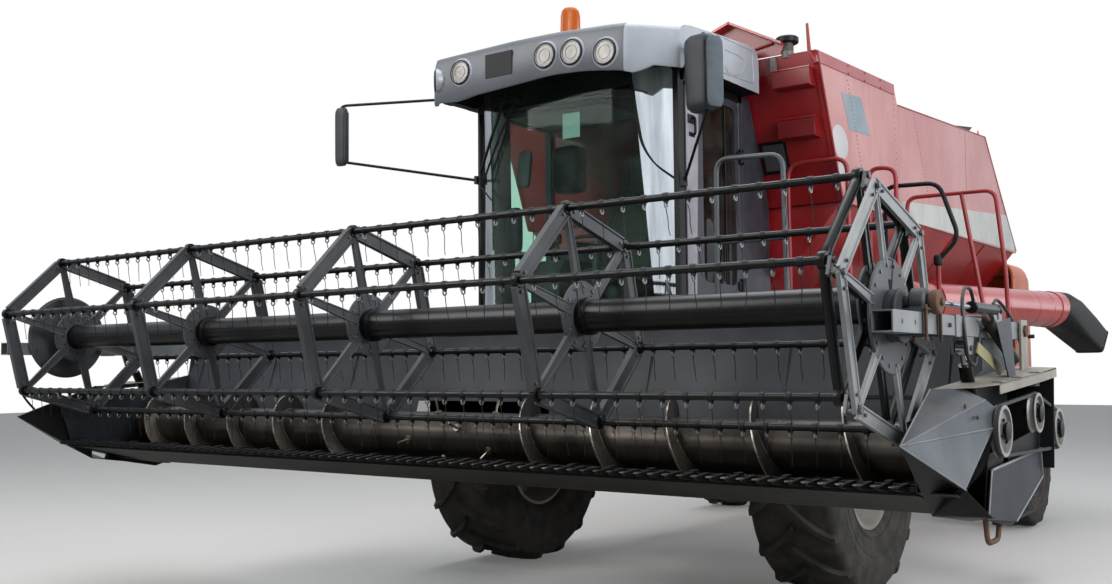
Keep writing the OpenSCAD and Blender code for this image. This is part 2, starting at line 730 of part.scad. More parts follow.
module engine_hood() placed() color("IndianRed") {
  hood_shell();
  // raised intake flap and the fin at the rear edge
  box([900, 6120, tank_z - 10], [1330, 6980, tank_z + 70]);
  across(1380, 1392) polygon([[7180, tank_z + 40], [7250, tank_z + 140], [7330, tank_z + 20]]);
}

module hood_shell() difference() {
  across(-body_x, body_x) polygon([[tank_end_y + 4, side_z], [tank_end_y + 4, tank_z - 95],
                                   [7270, tank_z + 70], [8350, side_z + 20], [8350, side_z]]);
  across(-body_x + panel_t, body_x - panel_t)
    polygon([[tank_end_y + 4 + panel_t, side_z - 10], [tank_end_y + 4 + panel_t, tank_z - 120],
             [7258, tank_z + 45], [8310, side_z - 10]]);
}

module engine_block() placed() color("DimGray")
  box([-380, 6350, side_z], [380, 7500, side_z + 780]);

module straw_hood() placed() color("Orange") difference() {
  across(-hood_x, hood_x)
    polygon([[8300, -560], [8300, side_z - 90], [hood_end_y - 110, side_z - 90],
             [hood_end_y - 30, side_z - 130], [hood_end_y, side_z - 220], [hood_end_y, -480]]);
  across(-hood_x + panel_t, hood_x - panel_t)
    polygon([[8325, -600], [8325, side_z - 115], [hood_end_y - 120, side_z - 115],
             [hood_end_y - 50, side_z - 145], [hood_end_y - 25, side_z - 220],
             [hood_end_y - 25, -600]]);
}

module shield_outline() polygon([[4800, -700], [6480, -700], [6680, -480], [7950, -480],
                                 [7950, 43.7], [4800, 43.7]]);
module side_shield() {
  across(1290, 1320) shield_outline();
  for (y = shield_hinges) difference() {
    union() {
      translate([hinge_x, y - 30, hinge_z]) rotate([-90, 0, 0]) cylinder(h = 60, r = 11);
      along(y - 30, y + 30) polygon([[1310, 10], [1324, 10], [hinge_x + 6, 38], [hinge_x, 44],
                                     [1326, 43], [1310, 43]]);
    }
    translate([hinge_x, y - 31, hinge_z]) rotate([-90, 0, 0]) cylinder(h = 62, r = 6.4);
  }
}
module side_shield_left() placed() color("Red") side_shield();
module side_shield_right() placed() color("Red") mirror([1, 0, 0]) side_shield();

// cab

module cab_frame() placed() color("Black") {
  box([-cab_x, cab_y - 20, 0], [cab_x, cab_end_y, 50]);
  // lower front panel under the bowed windscreen
  box([-cab_x, cab_y - 40, 0], [cab_x, cab_y, 206]);
  linear_extrude(210) polygon(concat(screen, [[-cab_x + 50, cab_y + 30]]));
  // pillars
  both() box([cab_x - 50, cab_y - 20, 50], [cab_x, cab_y + 50, roof_z]);
  both() box([cab_x - 60, cab_end_y - 60, 50], [cab_x, cab_end_y, roof_z]);
  both() box([cab_x - 50, cab_y, roof_z - 60], [cab_x, cab_end_y, roof_z]);
  box([-cab_x + 50, cab_y - 20, roof_z - 60], [cab_x - 50, cab_y + 40, roof_z]);
  box([-cab_x + 50, cab_end_y - 40, roof_z - 60], [cab_x - 50, cab_end_y, roof_z]);
  // door hinge lugs
  for (z = door_hinges) {
    translate([cab_x + 14, cab_end_y - 60, z - 25]) cylinder(h = 110, r = 8);
    for (dz = [-25, 65]) box([cab_x, cab_end_y - 60, z + dz], [cab_x + 14, cab_end_y, z + dz + 20]);
    for (dz = [-25, 65]) translate([cab_x + 14, cab_end_y - 60, z + dz]) cylinder(h = 20, r = 10);
  }
  // lower rear wall and lower right side
  box([-cab_x + 60, cab_end_y - 30, 50], [cab_x - 60, cab_end_y, 700]);
  box([60, cab_end_y - 30, 690], [cab_x - 60, cab_end_y, roof_z - 30]);
  box([-cab_x, cab_y + 50, 50], [-cab_x + 25, cab_end_y - 60, 260]);
  box([-cab_x, side_post[0], 250], [-cab_x + 30, side_post[1], roof_z - 50]);
}

module cab_roof() placed() color("Silver") difference() {
  intersection() {
    across(-1010, 1010) polygon([[1600, 1700], [1600, 1955], [1690, 2035], [2000, 2080],
                                 [2400, 2080], [2900, 2050], [2950, 2000], [2950, roof_z],
                                 [1990, roof_z]]);
    // chamfered front corners in plan
    linear_extrude(2200) polygon([roof_right[1], roof_right[0], roof_left[0], roof_left[1],
                                  [1010, 2960], [-1010, 2960]]);
  }
  across(-960, 960) polygon([[2080, roof_z - 10], [2080, 1980], [2880, 1980], [2880, roof_z - 10]]);
  along(1590, 1900) polygon(roof_arch);
}

module cab_glass() placed() color([0.6, 0.8, 0.75, 0.4]) {
  // windscreen, bowed forward between the pillars
  translate([0, 0, 210]) linear_extrude(roof_z - 270) polygon(band(screen, 7));
  // right side windows before and behind the wide post
  box([-cab_x + 8, cab_y + 50, 260], [-cab_x + 14, side_post[0], roof_z - 60]);
  box([-cab_x + 8, side_post[1], 260], [-cab_x + 14, cab_end_y - 60, roof_z - 60]);
  // rear window
  box([-cab_x + 60, cab_end_y - 18, 700], [60, cab_end_y - 12, roof_z - 60]);
}

module cab_door() placed() color("Gray") difference() {
  union() {
    box([cab_x - 26, cab_y + 56, 56], [cab_x + 4, cab_end_y - 66, roof_z - 66]);
    for (z = door_hinges) {
      translate([cab_x + 14, cab_end_y - 60, z]) cylinder(h = 60, r = 14);
      box([cab_x, cab_end_y - 110, z], [cab_x + 14, cab_end_y - 60, z + 60]);
    }
  }
  box([cab_x - 40, cab_y + 110, 330], [cab_x + 3, cab_end_y - 120, roof_z - 120]);
  box([cab_x + 2, cab_y + 110, 330], [cab_x + 20, cab_end_y - 120, roof_z - 120]);
  for (z = door_hinges)
    translate([cab_x + 14, cab_end_y - 60, z - 5]) cylinder(h = 70, r = 8.4);
}

module door_glass() placed() color([0.6, 0.8, 0.75, 0.4])
  box([cab_x - 14, cab_y + 110, 330], [cab_x - 8, cab_end_y - 120, roof_z - 120]);

module cab_interior() placed() color("DarkSlateGray") {
  // seat
  box([-260, 2420, 380], [260, 2820, 480]);
  box([-250, 2760, 480], [250, 2860, 1130]);
  box([-150, 2790, 1130], [150, 2860, 1300]);
  for (x = [-340, 260]) box([x, 2460, 640], [x + 80, 2790, 710]);
  for (x = [-300, 240]) box([x, 2740, 640], [x + 60, 2790, 710]);
  box([-150, 2500, 50], [150, 2760, 380]);
  // steering column and wheel
  rod([0, 2250, 60], [0, 2332, 652], 30);
  box([-60, 2190, 50], [60, 2310, 90]);
  translate([0, 2336, 640]) rotate([-8, 0, 0]) difference() {
    cylinder(h = 24, r = 205);
    translate([0, 0, -1]) cylinder(h = 26, r = 180);
  }
  translate([0, 2336, 640]) rotate([-8, 0, 0]) box([-190, -20, 2], [190, 20, 20]);
  // side console
  box([-560, 2250, 50], [-300, 2850, 560]);
  rod([-640, 2140, 50], [-640, 2140, 640], 14);
  box([-700, 2120, 620], [-580, 2190, 960]);
}

module mirrors() placed() color("Black") {
  // left head, turned beside the roof corner
  translate([1170, 1800, 1375]) rotate([0, 0, -10]) box([-95, -60, 0], [95, 60, 480]);
  rod([1170, 1800, 1830], [1023, 2050, 1810], 10);
  rod([1150, 1800, 1390], [cab_x + 17, cab_y + 8, mirror_foot_z], 10);
  translate([1023, 2050, 1810]) cube([26, 90, 70], center = true);
  translate([cab_x + 13, cab_y + 8, mirror_foot_z]) cube([26, 56, 60], center = true);
  // right head on its long arms
  box([-1910, 1500, 1330], [-1790, 1560, 1780]);
  rod([-1850, 1530, 1740], [-1023, 1840, 1780], 10);
  rod([-1850, 1530, 1370], [-cab_x - 17, cab_y + 8, mirror_foot_z + 195], 10);
  translate([-1023, 1840, 1780]) cube([26, 90, 70], center = true);
  translate([-cab_x - 13, cab_y + 8, mirror_foot_z + 195]) cube([26, 56, 60], center = true);
}

// platform, ladder and rails

module platform() placed() color("Gray") translate([0, 0, deck_z]) {
  box([cab_x + 20, 2015, -deck_t], [1720, 4700, 0]);
  box([1720, 3850, -deck_t], [2000, 4700, 0]);
  for (y = [3450, 4600]) box([core_x, y, -58], [cab_x + 40, y + 60, 0]);
  // loops beside the door and before the tank
  bent([[1120, 2040, -20], [1130, 2040, 1110], [1600, 2040, 1090], [1615, 2040, -20]], 17);
  bent([[1100, 3230, -20], [1100, 3230, 1250], [1560, 3230, 1250], [1560, 3230, -20]], 17);
  bent([[1480, 3870, -20], [1480, 3870, 1265], [1690, 3870, 1250], [1690, 3870, -20]], 17);
  // ladder rails
  bent([[1580, 3935, -20], [1580, 3935, 1120], [1990, 3935, 1110], [2130, 3935, 690],
        [1970, 3935, 530], [1960, 3970, -20]], 17);
  bent([[1500, 4680, -20], [1500, 4680, 1130], [2200, 4680, 1130], [2260, 4680, 500],
        [2310, 4680, -1250]], 17);
  rod([1940, 4680, 1129], [2092, 4680, 160], 14);
  rod([2092, 4680, 170], [1985, 4680, -20], 14);
  rod([2250, 4680, -35], [2450, 4680, -35], 14);
  rod([2308, 4680, -1200], [2290, 4640, -1200], 11);
  // ladder
  for (y = [3965, 4630])
    along(y, y + 20) polygon([[1990, -40], [2060, -40], [2360, -1400], [2290, -1400]]);
  for (i = [0:4])
    box([1995 + i * 64, 3970, -250 - i * 280], [2180 + i * 64, 4640, -225 - i * 280]);
}

module unloading_auger() placed() color("Red") {
  translate([swing_x, swing_y, 0]) {
    translate([0, 0, 100.3]) cylinder(h = 400, r = tube_r);
    rotate([0, 0, -swing_angle]) {
      translate([0, 0, tube_z]) rotate([-90, 0, 0]) cylinder(h = swing_len, r = tube_r);
      // outlet boot
      hull() {
        translate([0, swing_len + 1, tube_z]) rotate([-90, 0, 0]) cylinder(h = 20, r = 185);
        translate([60, swing_len + 640, 60]) rotate([-120, 0, 0]) cylinder(h = 20, r = 150);
      }
    }
  }
}

module roof_lamps() placed() color("Orange") {
  translate([beacon_x, 2200, 2080]) cylinder(h = 50, r = 84);
  translate([beacon_x, 2200, 2130]) cylinder(h = 285, r = 76);
  for (x = lamp_x) translate([x, 1600, 1850]) rotate([90, 0, 0])
    cylinder(h = 20, r = lamp_r);
  turn = roof_right[1] - roof_right[0];
  translate(concat((roof_right[0] + roof_right[1]) / 2, 1850))
    rotate([90, 0, atan2(turn[1], turn[0]) - 180]) cylinder(h = 20, r = lamp_r - 4);
}

feeder_house();
header_pan();
header_ends();
knife_bar();
header_drive();
header_auger();
reel_arms();
reel_lift_barrels();
reel_lift_rods();
reel_carriage();
reel_rotor();
bat_1();
bat_2();
bat_3();
bat_4();
bat_5();
bat_6();
reel_cam();
header_lift_barrels();
header_lift_rods();
chassis();
body_shell();
grain_tank();
engine_hood();
engine_block();
straw_hood();
side_shield_left();
side_shield_right();
cab_frame();
cab_roof();
cab_glass();
cab_door();
door_glass();
cab_interior();
mirrors();
platform();
unloading_auger();
roof_lamps();
rim_front_left();
rim_front_right();
tyre_front_left();
tyre_front_right();
rim_rear_left();
rim_rear_right();
tyre_rear_left();
tyre_rear_right();
knuckle_left();
knuckle_right();
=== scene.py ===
from math import cos, pi, radians, sin

import bmesh
import bpy
import numpy as np
from mathutils import Matrix, Vector
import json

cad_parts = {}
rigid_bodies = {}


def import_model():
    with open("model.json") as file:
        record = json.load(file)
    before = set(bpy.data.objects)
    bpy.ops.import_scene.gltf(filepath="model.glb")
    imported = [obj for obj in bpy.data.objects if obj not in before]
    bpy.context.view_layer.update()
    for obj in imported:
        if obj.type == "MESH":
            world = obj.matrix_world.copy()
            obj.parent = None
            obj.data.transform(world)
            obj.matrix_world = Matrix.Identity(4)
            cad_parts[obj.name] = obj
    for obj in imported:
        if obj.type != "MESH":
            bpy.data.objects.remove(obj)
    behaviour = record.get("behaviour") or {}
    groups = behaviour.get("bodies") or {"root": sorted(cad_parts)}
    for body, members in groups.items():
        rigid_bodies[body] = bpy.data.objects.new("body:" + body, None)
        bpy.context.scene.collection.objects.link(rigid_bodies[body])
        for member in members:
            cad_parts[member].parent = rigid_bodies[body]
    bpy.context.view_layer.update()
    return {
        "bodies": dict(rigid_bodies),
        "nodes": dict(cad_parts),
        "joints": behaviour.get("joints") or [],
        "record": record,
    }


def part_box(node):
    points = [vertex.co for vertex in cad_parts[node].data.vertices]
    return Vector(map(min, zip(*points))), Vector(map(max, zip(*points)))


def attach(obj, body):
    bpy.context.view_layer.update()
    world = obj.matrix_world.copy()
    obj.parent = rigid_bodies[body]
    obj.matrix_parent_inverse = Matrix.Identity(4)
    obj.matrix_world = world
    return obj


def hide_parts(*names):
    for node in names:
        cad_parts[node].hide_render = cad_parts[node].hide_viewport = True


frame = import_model()
nodes = frame["nodes"]
rotorLow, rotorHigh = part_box("reel_rotor")
# Shapes are drawn in millimetres from the reel axis: x to the machine's left, y rearward, z up
reelAt = (np.array(rotorLow) + np.array(rotorHigh)) / 2


# A shape is a pair of a point array and a list of faces
def turnsOf(count):
    return np.linspace(0, 2 * pi, count, endpoint=False)


def circleOf(count):
    turn = turnsOf(count)
    return np.column_stack([np.cos(turn), np.sin(turn)])


def squared(value, power):
    # draws a wave toward its limits, which squares a circle
    return np.sign(value) * np.abs(value) ** power


def spotsOf(count, first, reach, centre=(0, 0, 0)):
    # places on a circle that looks along x, the first one at an angle in degrees
    turn = turnsOf(count) + radians(first)
    return np.column_stack([0 * turn, reach * np.cos(turn), reach * np.sin(turn)]) + centre


def box(low, high):
    # the eight corners of a block and its six sides
    points = [(x, y, z) for x in (low[0], high[0]) for y in (low[1], high[1])
        for z in (low[2], high[2])]
    faces = [(0, 1, 3, 2), (4, 6, 7, 5), (0, 4, 5, 1), (2, 3, 7, 6), (0, 2, 6, 4), (1, 5, 7, 3)]
    return np.array(points, float), faces


def prism(outline, axis, start, end):
    # the outline at two levels of an axis, joined by side faces and two ends
    flat = np.asarray(outline, float)
    count = len(flat)
    rows = [np.insert(flat, "xyz".index(axis), level, axis=1) for level in (start, end)]
    faces = [(i, (i + 1) % count, (i + 1) % count + count, i + count) for i in range(count)]
    faces += [tuple(range(count - 1, -1, -1)), tuple(range(count, 2 * count))]
    return np.concatenate(rows), faces


def bandOutline(path, thickness):
    # the path and the same path pushed sideways by the thickness, mitred at its corners
    line = np.asarray(path, float)
    step = np.diff(line, axis=0)
    step /= np.linalg.norm(step, axis=1)[:, None]
    side = np.column_stack([-step[:, 1], step[:, 0]])
    bent = np.concatenate([side[:1], side[:-1] + side[1:], side[-1:]])
    bent[1:-1] *= (2 / np.sum(bent[1:-1] ** 2, axis=1))[:, None]
    return np.concatenate([line, (line + bent * thickness)[::-1]])


def strip(path, thickness, axis, start, end):
    # a bent plate: the band along a path, carried along an axis
    return prism(bandOutline(path, thickness), axis, start, end)


def grid(points, wrapRows=False, wrapColumns=False, capEnds=False):
    # points holds rows x columns places on a surface
    points = np.asarray(points, float)
    rows, columns = points.shape[:2]
    faces = []
    for i in range(rows if wrapRows else rows - 1):
        for j in range(columns if wrapColumns else columns - 1):
            a, b = (i + 1) % rows, (j + 1) % columns
            faces.append((i * columns + j, a * columns + j, a * columns + b, i * columns + b))
    if capEnds:
        faces.append(tuple(range(columns)))
        faces.append(tuple(range((rows - 1) * columns, rows * columns))[::-1])
    return points.reshape(-1, 3), faces


def loft(rows):
    # a skin through rings of places, with both ends filled
    return grid(rows, False, True, True)


def rounded(path, radius, steps=5):
    # each inner corner of the path becomes an arc-like curve that starts a radius before it
    line = [np.asarray(p, float) for p in path]
    out = [line[0]]
    for before, corner, after in zip(line, line[1:], line[2:]):
        back, on = before - corner, after - corner
        reach = min(radius, np.linalg.norm(back) * 0.45, np.linalg.norm(on) * 0.45)
        start = corner + back / np.linalg.norm(back) * reach
        end = corner + on / np.linalg.norm(on) * reach
        for t in np.linspace(0, 1, steps + 1):
            out.append((1 - t) ** 2 * start + 2 * t * (1 - t) * corner + t ** 2 * end)
    out.append(line[-1])
    return np.array(out)


def sweep(path, profile, closed=False):
    # profile(i) gives the (side, up) points of the section at place i
    line = np.asarray(path, float)
    count = len(line)
    ahead = np.roll(line, -1, axis=0) - np.roll(line, 1, axis=0)
    if not closed:
        ahead[0], ahead[-1] = line[1] - line[0], line[-1] - line[-2]
    ahead /= np.linalg.norm(ahead, axis=1)[:, None]
    seed = np.array((0, 0, 1.0)) if abs(ahead[0][2]) < 0.9 else np.array((1.0, 0, 0))
    side = np.cross(ahead[0], seed)
    side /= np.linalg.norm(side)
    rings = []
    for i in range(count):
        side = side - ahead[i] * np.dot(side, ahead[i])
        side /= np.linalg.norm(side)
        up = np.cross(side, ahead[i])
        section = np.asarray(profile(i), float)
        rings.append(line[i] + section[:, :1] * side + section[:, 1:] * up)
    return grid(rings, closed, True, not closed)


def tube(path, radius, sides=12, bend=0, closed=False):
    # a circle carried along the path, its radius given for each place or for all
    line = rounded(path, bend) if bend else np.asarray(path, float)
    radii = np.broadcast_to(radius, len(line))
    return sweep(line, lambda i: circleOf(sides) * radii[i], closed)


def lathe(profile, centre=(0, 0, 0), axis="x", steps=48, closed=False):
    # profile holds (radius, distance along the axis); radius 0 makes a closed pole
    turn = turnsOf(steps)
    flat = np.asarray(profile, float)
    ring = np.empty((len(flat), steps, 3))
    first, second, along = {"x": (1, 2, 0), "y": (2, 0, 1), "z": (0, 1, 2)}[axis]
    ring[:, :, first] = flat[:, :1] * np.cos(turn)
    ring[:, :, second] = flat[:, :1] * np.sin(turn)
    ring[:, :, along] = flat[:, 1:]
    caps = not closed and flat[0, 0] > 0
    points, faces = grid(ring, closed, True, caps)
    return points + np.asarray(centre, float), faces


def rod(radius, start, end, centre=(0, 0, 0), axis="x", steps=48):
    # a rectangle turned about its axis
    return lathe([(0, start), (radius, start), (radius, end), (0, end)], centre, axis, steps)


def torus(centre, axis, radius, wire, steps=16, sides=6):
    # a small circle turned about an axis at a distance from it
    return lathe(circleOf(sides) * wire + (radius, 0), centre, axis, steps, True)


def moved(shape, offset):
    return shape[0] + np.asarray(offset, float), shape[1]


def turned(shape, axis, degrees, centre=(0, 0, 0)):
    matrix = np.array(Matrix.Rotation(radians(degrees), 3, axis))
    pivot = np.asarray(centre, float)
    return (shape[0] - pivot) @ matrix.T + pivot, shape[1]


def mirrored(shape):
    return shape[0] * np.array((-1, 1, 1)), [face[::-1] for face in shape[1]]


class Bag:
    # the shapes of one piece, with a material number for each shape or for each of its faces

    def __init__(self):
        self.points, self.faces, self.marks, self.count = [], [], [], 0

    def add(self, shape, mark=0):
        points, faces = shape
        self.points.append(np.asarray(points, float))
        self.faces += [tuple(i + self.count for i in face) for face in faces]
        self.marks += mark if isinstance(mark, list) else [mark] * len(faces)
        self.count += len(points)
        return self

    def both(self, shape, mark=0):
        return self.add(shape, mark).add(mirrored(shape), mark)

    def placed(self, spot, sign):
        # a copy at a place, mirrored first where the sign is negative
        shape = np.concatenate(self.points), self.faces
        shape = mirrored(shape) if sign < 0 else shape
        return Bag().add(moved(shape, spot), list(self.marks))


def makePiece(name, body, bag, materials, replaced=(), bevel=0, angle=32):
    mesh = bpy.data.meshes.new(name)
    points = np.concatenate(bag.points) / 1000 + reelAt
    mesh.from_pydata(points.tolist(), [], bag.faces)
    for material in materials:
        mesh.materials.append(material)
    mesh.polygons.foreach_set("material_index", bag.marks)
    work = bmesh.new()
    work.from_mesh(mesh)
    bmesh.ops.recalc_face_normals(work, faces=work.faces)
    work.to_mesh(mesh)
    work.free()
    mesh.polygons.foreach_set("use_smooth", [True] * len(mesh.polygons))
    mesh.set_sharp_from_angle(angle=radians(angle))
    piece = bpy.data.objects.new(name, mesh)
    bpy.context.scene.collection.objects.link(piece)
    if bevel:
        edge = piece.modifiers.new("edge", "BEVEL")
        edge.width = bevel / 1000
        edge.segments = 2
        edge.limit_method = "ANGLE"
        edge.angle_limit = radians(angle)
        edge.harden_normals = True
    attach(piece, body)
    if replaced:
        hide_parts(*replaced)
    return piece


def linear(code):
    # sRGB hex to linear light
    channels = [int(code[i:i + 2], 16) / 255 for i in (1, 3, 5)]
    return tuple(c / 12.92 if c <= 0.04045 else ((c + 0.055) / 1.055) ** 2.4
        for c in channels) + (1.0,)


def addNode(tree, kind, settings=None, links=None):
    # a link may also be a plain value
    node = tree.nodes.new("ShaderNode" + kind)
    for key, value in (settings or {}).items():
        if key in node.inputs:
            node.inputs[key].default_value = value
        else:
            setattr(node, key, value)
    for key, source in (links or {}).items():
        if isinstance(source, (int, float, tuple)):
            node.inputs[key].default_value = source
        else:
            tree.links.new(source, node.inputs[key])
    return node


def newMaterial(name):
    material = bpy.data.materials.new(name)
    material.use_nodes = True
    tree = material.node_tree
    tree.nodes.clear()
    return material, tree


def show(material, shader):
    addNode(material.node_tree, "OutputMaterial", None, {"Surface": shader.outputs[0]})
    return material


def noiseOf(tree, place, scale, detail=4.0, rough=0.55, stretch=None):
    if stretch:
        place = addNode(tree, "Mapping", {"Scale": stretch}, {"Vector": place}).outputs[0]
    return addNode(tree, "TexNoise", {"Scale": scale, "Detail": detail, "Roughness": rough},
        {"Vector": place}).outputs[0]


def spread(tree, value, low, high, top=1.0, bottom=0.0):
    return addNode(tree, "MapRange", {"From Min": low, "From Max": high, "To Min": bottom,
        "To Max": top}, {"Value": value}).outputs[0]


def mathOf(tree, operation, a, b):
    return addNode(tree, "Math", {"operation": operation}, {0: a, 1: b}).outputs[0]


def product(tree, a, b):
    return mathOf(tree, "MULTIPLY", a, b)


def mixColour(tree, share, a, b):
    return addNode(tree, "Mix", {"data_type": "RGBA"}, {0: share, 6: a, 7: b}).outputs[2]


def coated(name, tones, rough=0.45, metal=0.0, dust=0.25, dustTone="#8d8474", wear=0.35,
        wearTone="#7d7468", streak=0.15, streakTone="#3a3430", sheen=0.0, patch=3.0, gloss=0.5):
    # two tones in patches of 330 mm, rain streaks 70 mm wide, dust on upward faces in clouds
    # of 200 mm, edges scuffed over 40 mm; paint grain near 1 mm is drawn at 17 mm to show
    relief = {"edge": 0.003, "grain": 0.35, "depth": 0.0012}
    material, tree = newMaterial(name)
    place = addNode(tree, "TexCoord").outputs["Object"]
    patchy = spread(tree, noiseOf(tree, place, patch, 5.0), 0.38, 0.62)
    colour = mixColour(tree, patchy, linear(tones[0]), linear(tones[1]))
    if streak:
        lines = noiseOf(tree, place, 14.0, 4.0, 0.6, (1.0, 1.0, 0.12))
        share = product(tree, spread(tree, lines, 0.52, 0.72), streak)
        colour = mixColour(tree, share, colour, linear(streakTone))
    geometry = addNode(tree, "NewGeometry")
    soft = addNode(tree, "Bevel", {"samples": 4, "Radius": relief["edge"]})
    if wear:
        facing = addNode(tree, "VectorMath", {"operation": "DOT_PRODUCT"},
            {0: soft.outputs[0], 1: geometry.outputs["Normal"]}).outputs["Value"]
        edge = spread(tree, facing, 0.98, 0.80)
        scuff = spread(tree, noiseOf(tree, place, 26.0, 6.0, 0.7), 0.45, 0.60)
        chips = spread(tree, noiseOf(tree, place, 9.0, 8.0, 0.72), 0.66, 0.70)
        share = mathOf(tree, "MAXIMUM", product(tree, edge, scuff), product(tree, chips, 0.5))
        share = product(tree, share, wear)
        colour = mixColour(tree, share, colour, linear(wearTone))
    if dust:
        up = addNode(tree, "SeparateXYZ", None, {0: geometry.outputs["Normal"]}).outputs[2]
        lying = mathOf(tree, "MAXIMUM", spread(tree, up, 0.1, 0.95), 0.22)
        cloud = spread(tree, noiseOf(tree, place, 5.0, 7.0, 0.62), 0.30, 0.68)
        share = product(tree, product(tree, lying, cloud), dust)
        colour = mixColour(tree, share, colour, linear(dustTone))
        rough = mathOf(tree, "ADD", rough, product(tree, share, 0.4))
    fine = noiseOf(tree, place, 60.0, 5.0, 0.6)
    bump = addNode(tree, "Bump", {"Strength": relief["grain"], "Distance": relief["depth"]},
        {"Height": fine, "Normal": soft.outputs[0]})
    shader = addNode(tree, "BsdfPrincipled", {"Metallic": metal, "Coat Weight": sheen,
        "Coat Roughness": 0.15, "Specular IOR Level": gloss},
        {"Base Color": colour, "Normal": bump.outputs[0], "Roughness": rough})
    return show(material, shader)


def plain(name, tone, rough=0.5, metal=0.0, bump=0.2, scale=90.0, other=None, gloss=0.5):
    material, tree = newMaterial(name)
    place = addNode(tree, "TexCoord").outputs["Object"]
    mottle = spread(tree, noiseOf(tree, place, 8.0, 5.0), 0.35, 0.65)
    colour = mixColour(tree, mottle, linear(tone), linear(other or tone))
    fine = noiseOf(tree, place, scale, 4.0)
    height = addNode(tree, "Bump", {"Strength": bump, "Distance": 0.001}, {"Height": fine})
    shader = addNode(tree, "BsdfPrincipled", {"Roughness": rough, "Metallic": metal,
        "Specular IOR Level": gloss}, {"Base Color": colour, "Normal": height.outputs[0]})
    return show(material, shader)


def paneOf(name, tint, strength=0.25, haze=0.05, glare=0.0):
    # tinted clear sheet with a mirror that grows toward grazing angles
    material, tree = newMaterial(name)
    place = addNode(tree, "TexCoord").outputs["Object"]
    clear = addNode(tree, "BsdfTransparent", {"Color": linear(tint)})
    shine = addNode(tree, "BsdfAnisotropic", {"Roughness": 0.02, "Color": (0.95, 0.98, 0.97, 1)})
    facing = addNode(tree, "LayerWeight", {"Blend": strength}).outputs["Fresnel"]
    share = product(tree, facing, 0.9)
    if glare:
        # painted reflection: upright streaks of added mirror that stand for a bright sky
        lines = noiseOf(tree, place, 9.0, 5.0, 0.6, (1.0, 1.0, 0.08))
        share = mathOf(tree, "ADD", share, spread(tree, lines, 0.36, 0.64, glare * 1.6,
            glare * 0.25))
    glass = addNode(tree, "MixShader", None, {0: share, 1: clear.outputs[0], 2: shine.outputs[0]})
    grime = addNode(tree, "BsdfDiffuse", {"Color": linear("#a9aca0")})
    film = spread(tree, noiseOf(tree, place, 4.0, 6.0, 0.65), 0.40, 0.75, haze * 3, haze * 0.4)
    mixed = addNode(tree, "MixShader", None, {0: film, 1: glass.outputs[0], 2: grime.outputs[0]})
    return show(material, mixed)


def lensOf(name, tone, glow=0.0):
    material, tree = newMaterial(name)
    shader = addNode(tree, "BsdfPrincipled", {"Base Color": linear(tone), "Roughness": 0.35,
        "Coat Weight": 0.15, "Specular IOR Level": 0.3, "Emission Color": linear(tone),
        "Emission Strength": glow})
    return show(material, shader)


# sprayed enamel: sharp highlights on black
blackEnamel = coated("worn black enamel", ("#060708", "#0e0f11"), 0.28, dust=0.05, wear=0.4,
    wearTone="#6d655b", dustTone="#6f6a60", gloss=0.22)
# baked paint: grey, pale with dust on top
reelGrey = coated("dusty reel paint", ("#2c2e32", "#43464b"), 0.48, dust=0.38, wear=0.45,
    wearTone="#8a8277", dustTone="#7c776d")
# painted sheet: dull slate, rubbed edges
deckGrey = coated("worn deck grey", ("#23272c", "#30353b"), 0.46, dust=0.1, wear=0.4,
    dustTone="#746f66", streak=0.25, gloss=0.28)
# rolled steel: flat grey, brown edges
paleGrey = coated("bare grey steel", ("#6b6a66", "#807d76"), 0.5, metal=0.25, dust=0.3, wear=0.5,
    wearTone="#5b4636")
# tube polished by straw: dark brown gleam
augerSteel = coated("polished auger steel", ("#26211e", "#46403a"), 0.33, metal=0.75, dust=0.12,
    wear=0.6, wearTone="#8c847b", streak=0.5, streakTone="#1a1411")
# rolled flight: bright, rust in its streaks
flightSteel = coated("scoured flight steel", ("#5d564f", "#857c72"), 0.3, metal=0.85, dust=0.1,
    wear=0.6, wearTone="#a59c91", streak=0.4, streakTone="#3a2a20")
# edge ground by use: the auger's brightest line
polishedEdge = coated("worn bright flight edge", ("#8d8479", "#a9a197"), 0.25, metal=0.9, dust=0.05,
    wear=0.3, wearTone="#5b4a3c")
# sheet scoured by grain: patchy gleam
troughSteel = coated("scoured trough steel", ("#3b3833", "#5a554e"), 0.36, metal=0.55, dust=0.3,
    wear=0.5, wearTone="#8f8579", streak=0.35, streakTone="#251d17")
# pressed sheet: cool grey, soft gleam
noseGrey = coated("bluish grey sheet", ("#3f454c", "#50575e"), 0.38, metal=0.2, dust=0.3, wear=0.45,
    wearTone="#6b5a48", streak=0.3, streakTone="#2c2f33")
# thin old paint: pale, rust at the edges; the paleness is partly a painted highlight
paleArmPaintAndHighlight = coated("pale worn arm paint with painted highlight", ("#6e7173", "#888b8c"), 0.4, metal=0.2, dust=0.22,
    wear=0.55, wearTone="#6b4a33")
# walked on plate: chalky
deckPale = coated("dusty deck plate", ("#857f76", "#9a9388"), 0.5, metal=0.1, dust=0.25, wear=0.5,
    wearTone="#5f4a39")
# dark underside: near black with brown dust, no gleam
darkUnderside = coated("dark underside", ("#191812", "#29261e"), 0.6, dust=0.35, wear=0.3,
    dustTone="#574f3c", gloss=0.2)
# hardened wire: dark, thin highlight
tineWire = plain("dark tine wire", "#1c1a18", 0.45, 0.5, 0.1, other="#39322b")
# ground blades: bright facets
knifeSteel = coated("ground knife steel", ("#55534f", "#8b8881"), 0.35, metal=0.8, dust=0.15,
    wear=0.5, wearTone="#b5b0a6")
# sprayed enamel: clear highlights
brightRed = coated("bright red enamel", ("#a3171a", "#b32024"), 0.3, dust=0.12, wear=0.12,
    wearTone="#6a1414", dustTone="#b08a80", streak=0.2, streakTone="#7a1013", sheen=0.4)
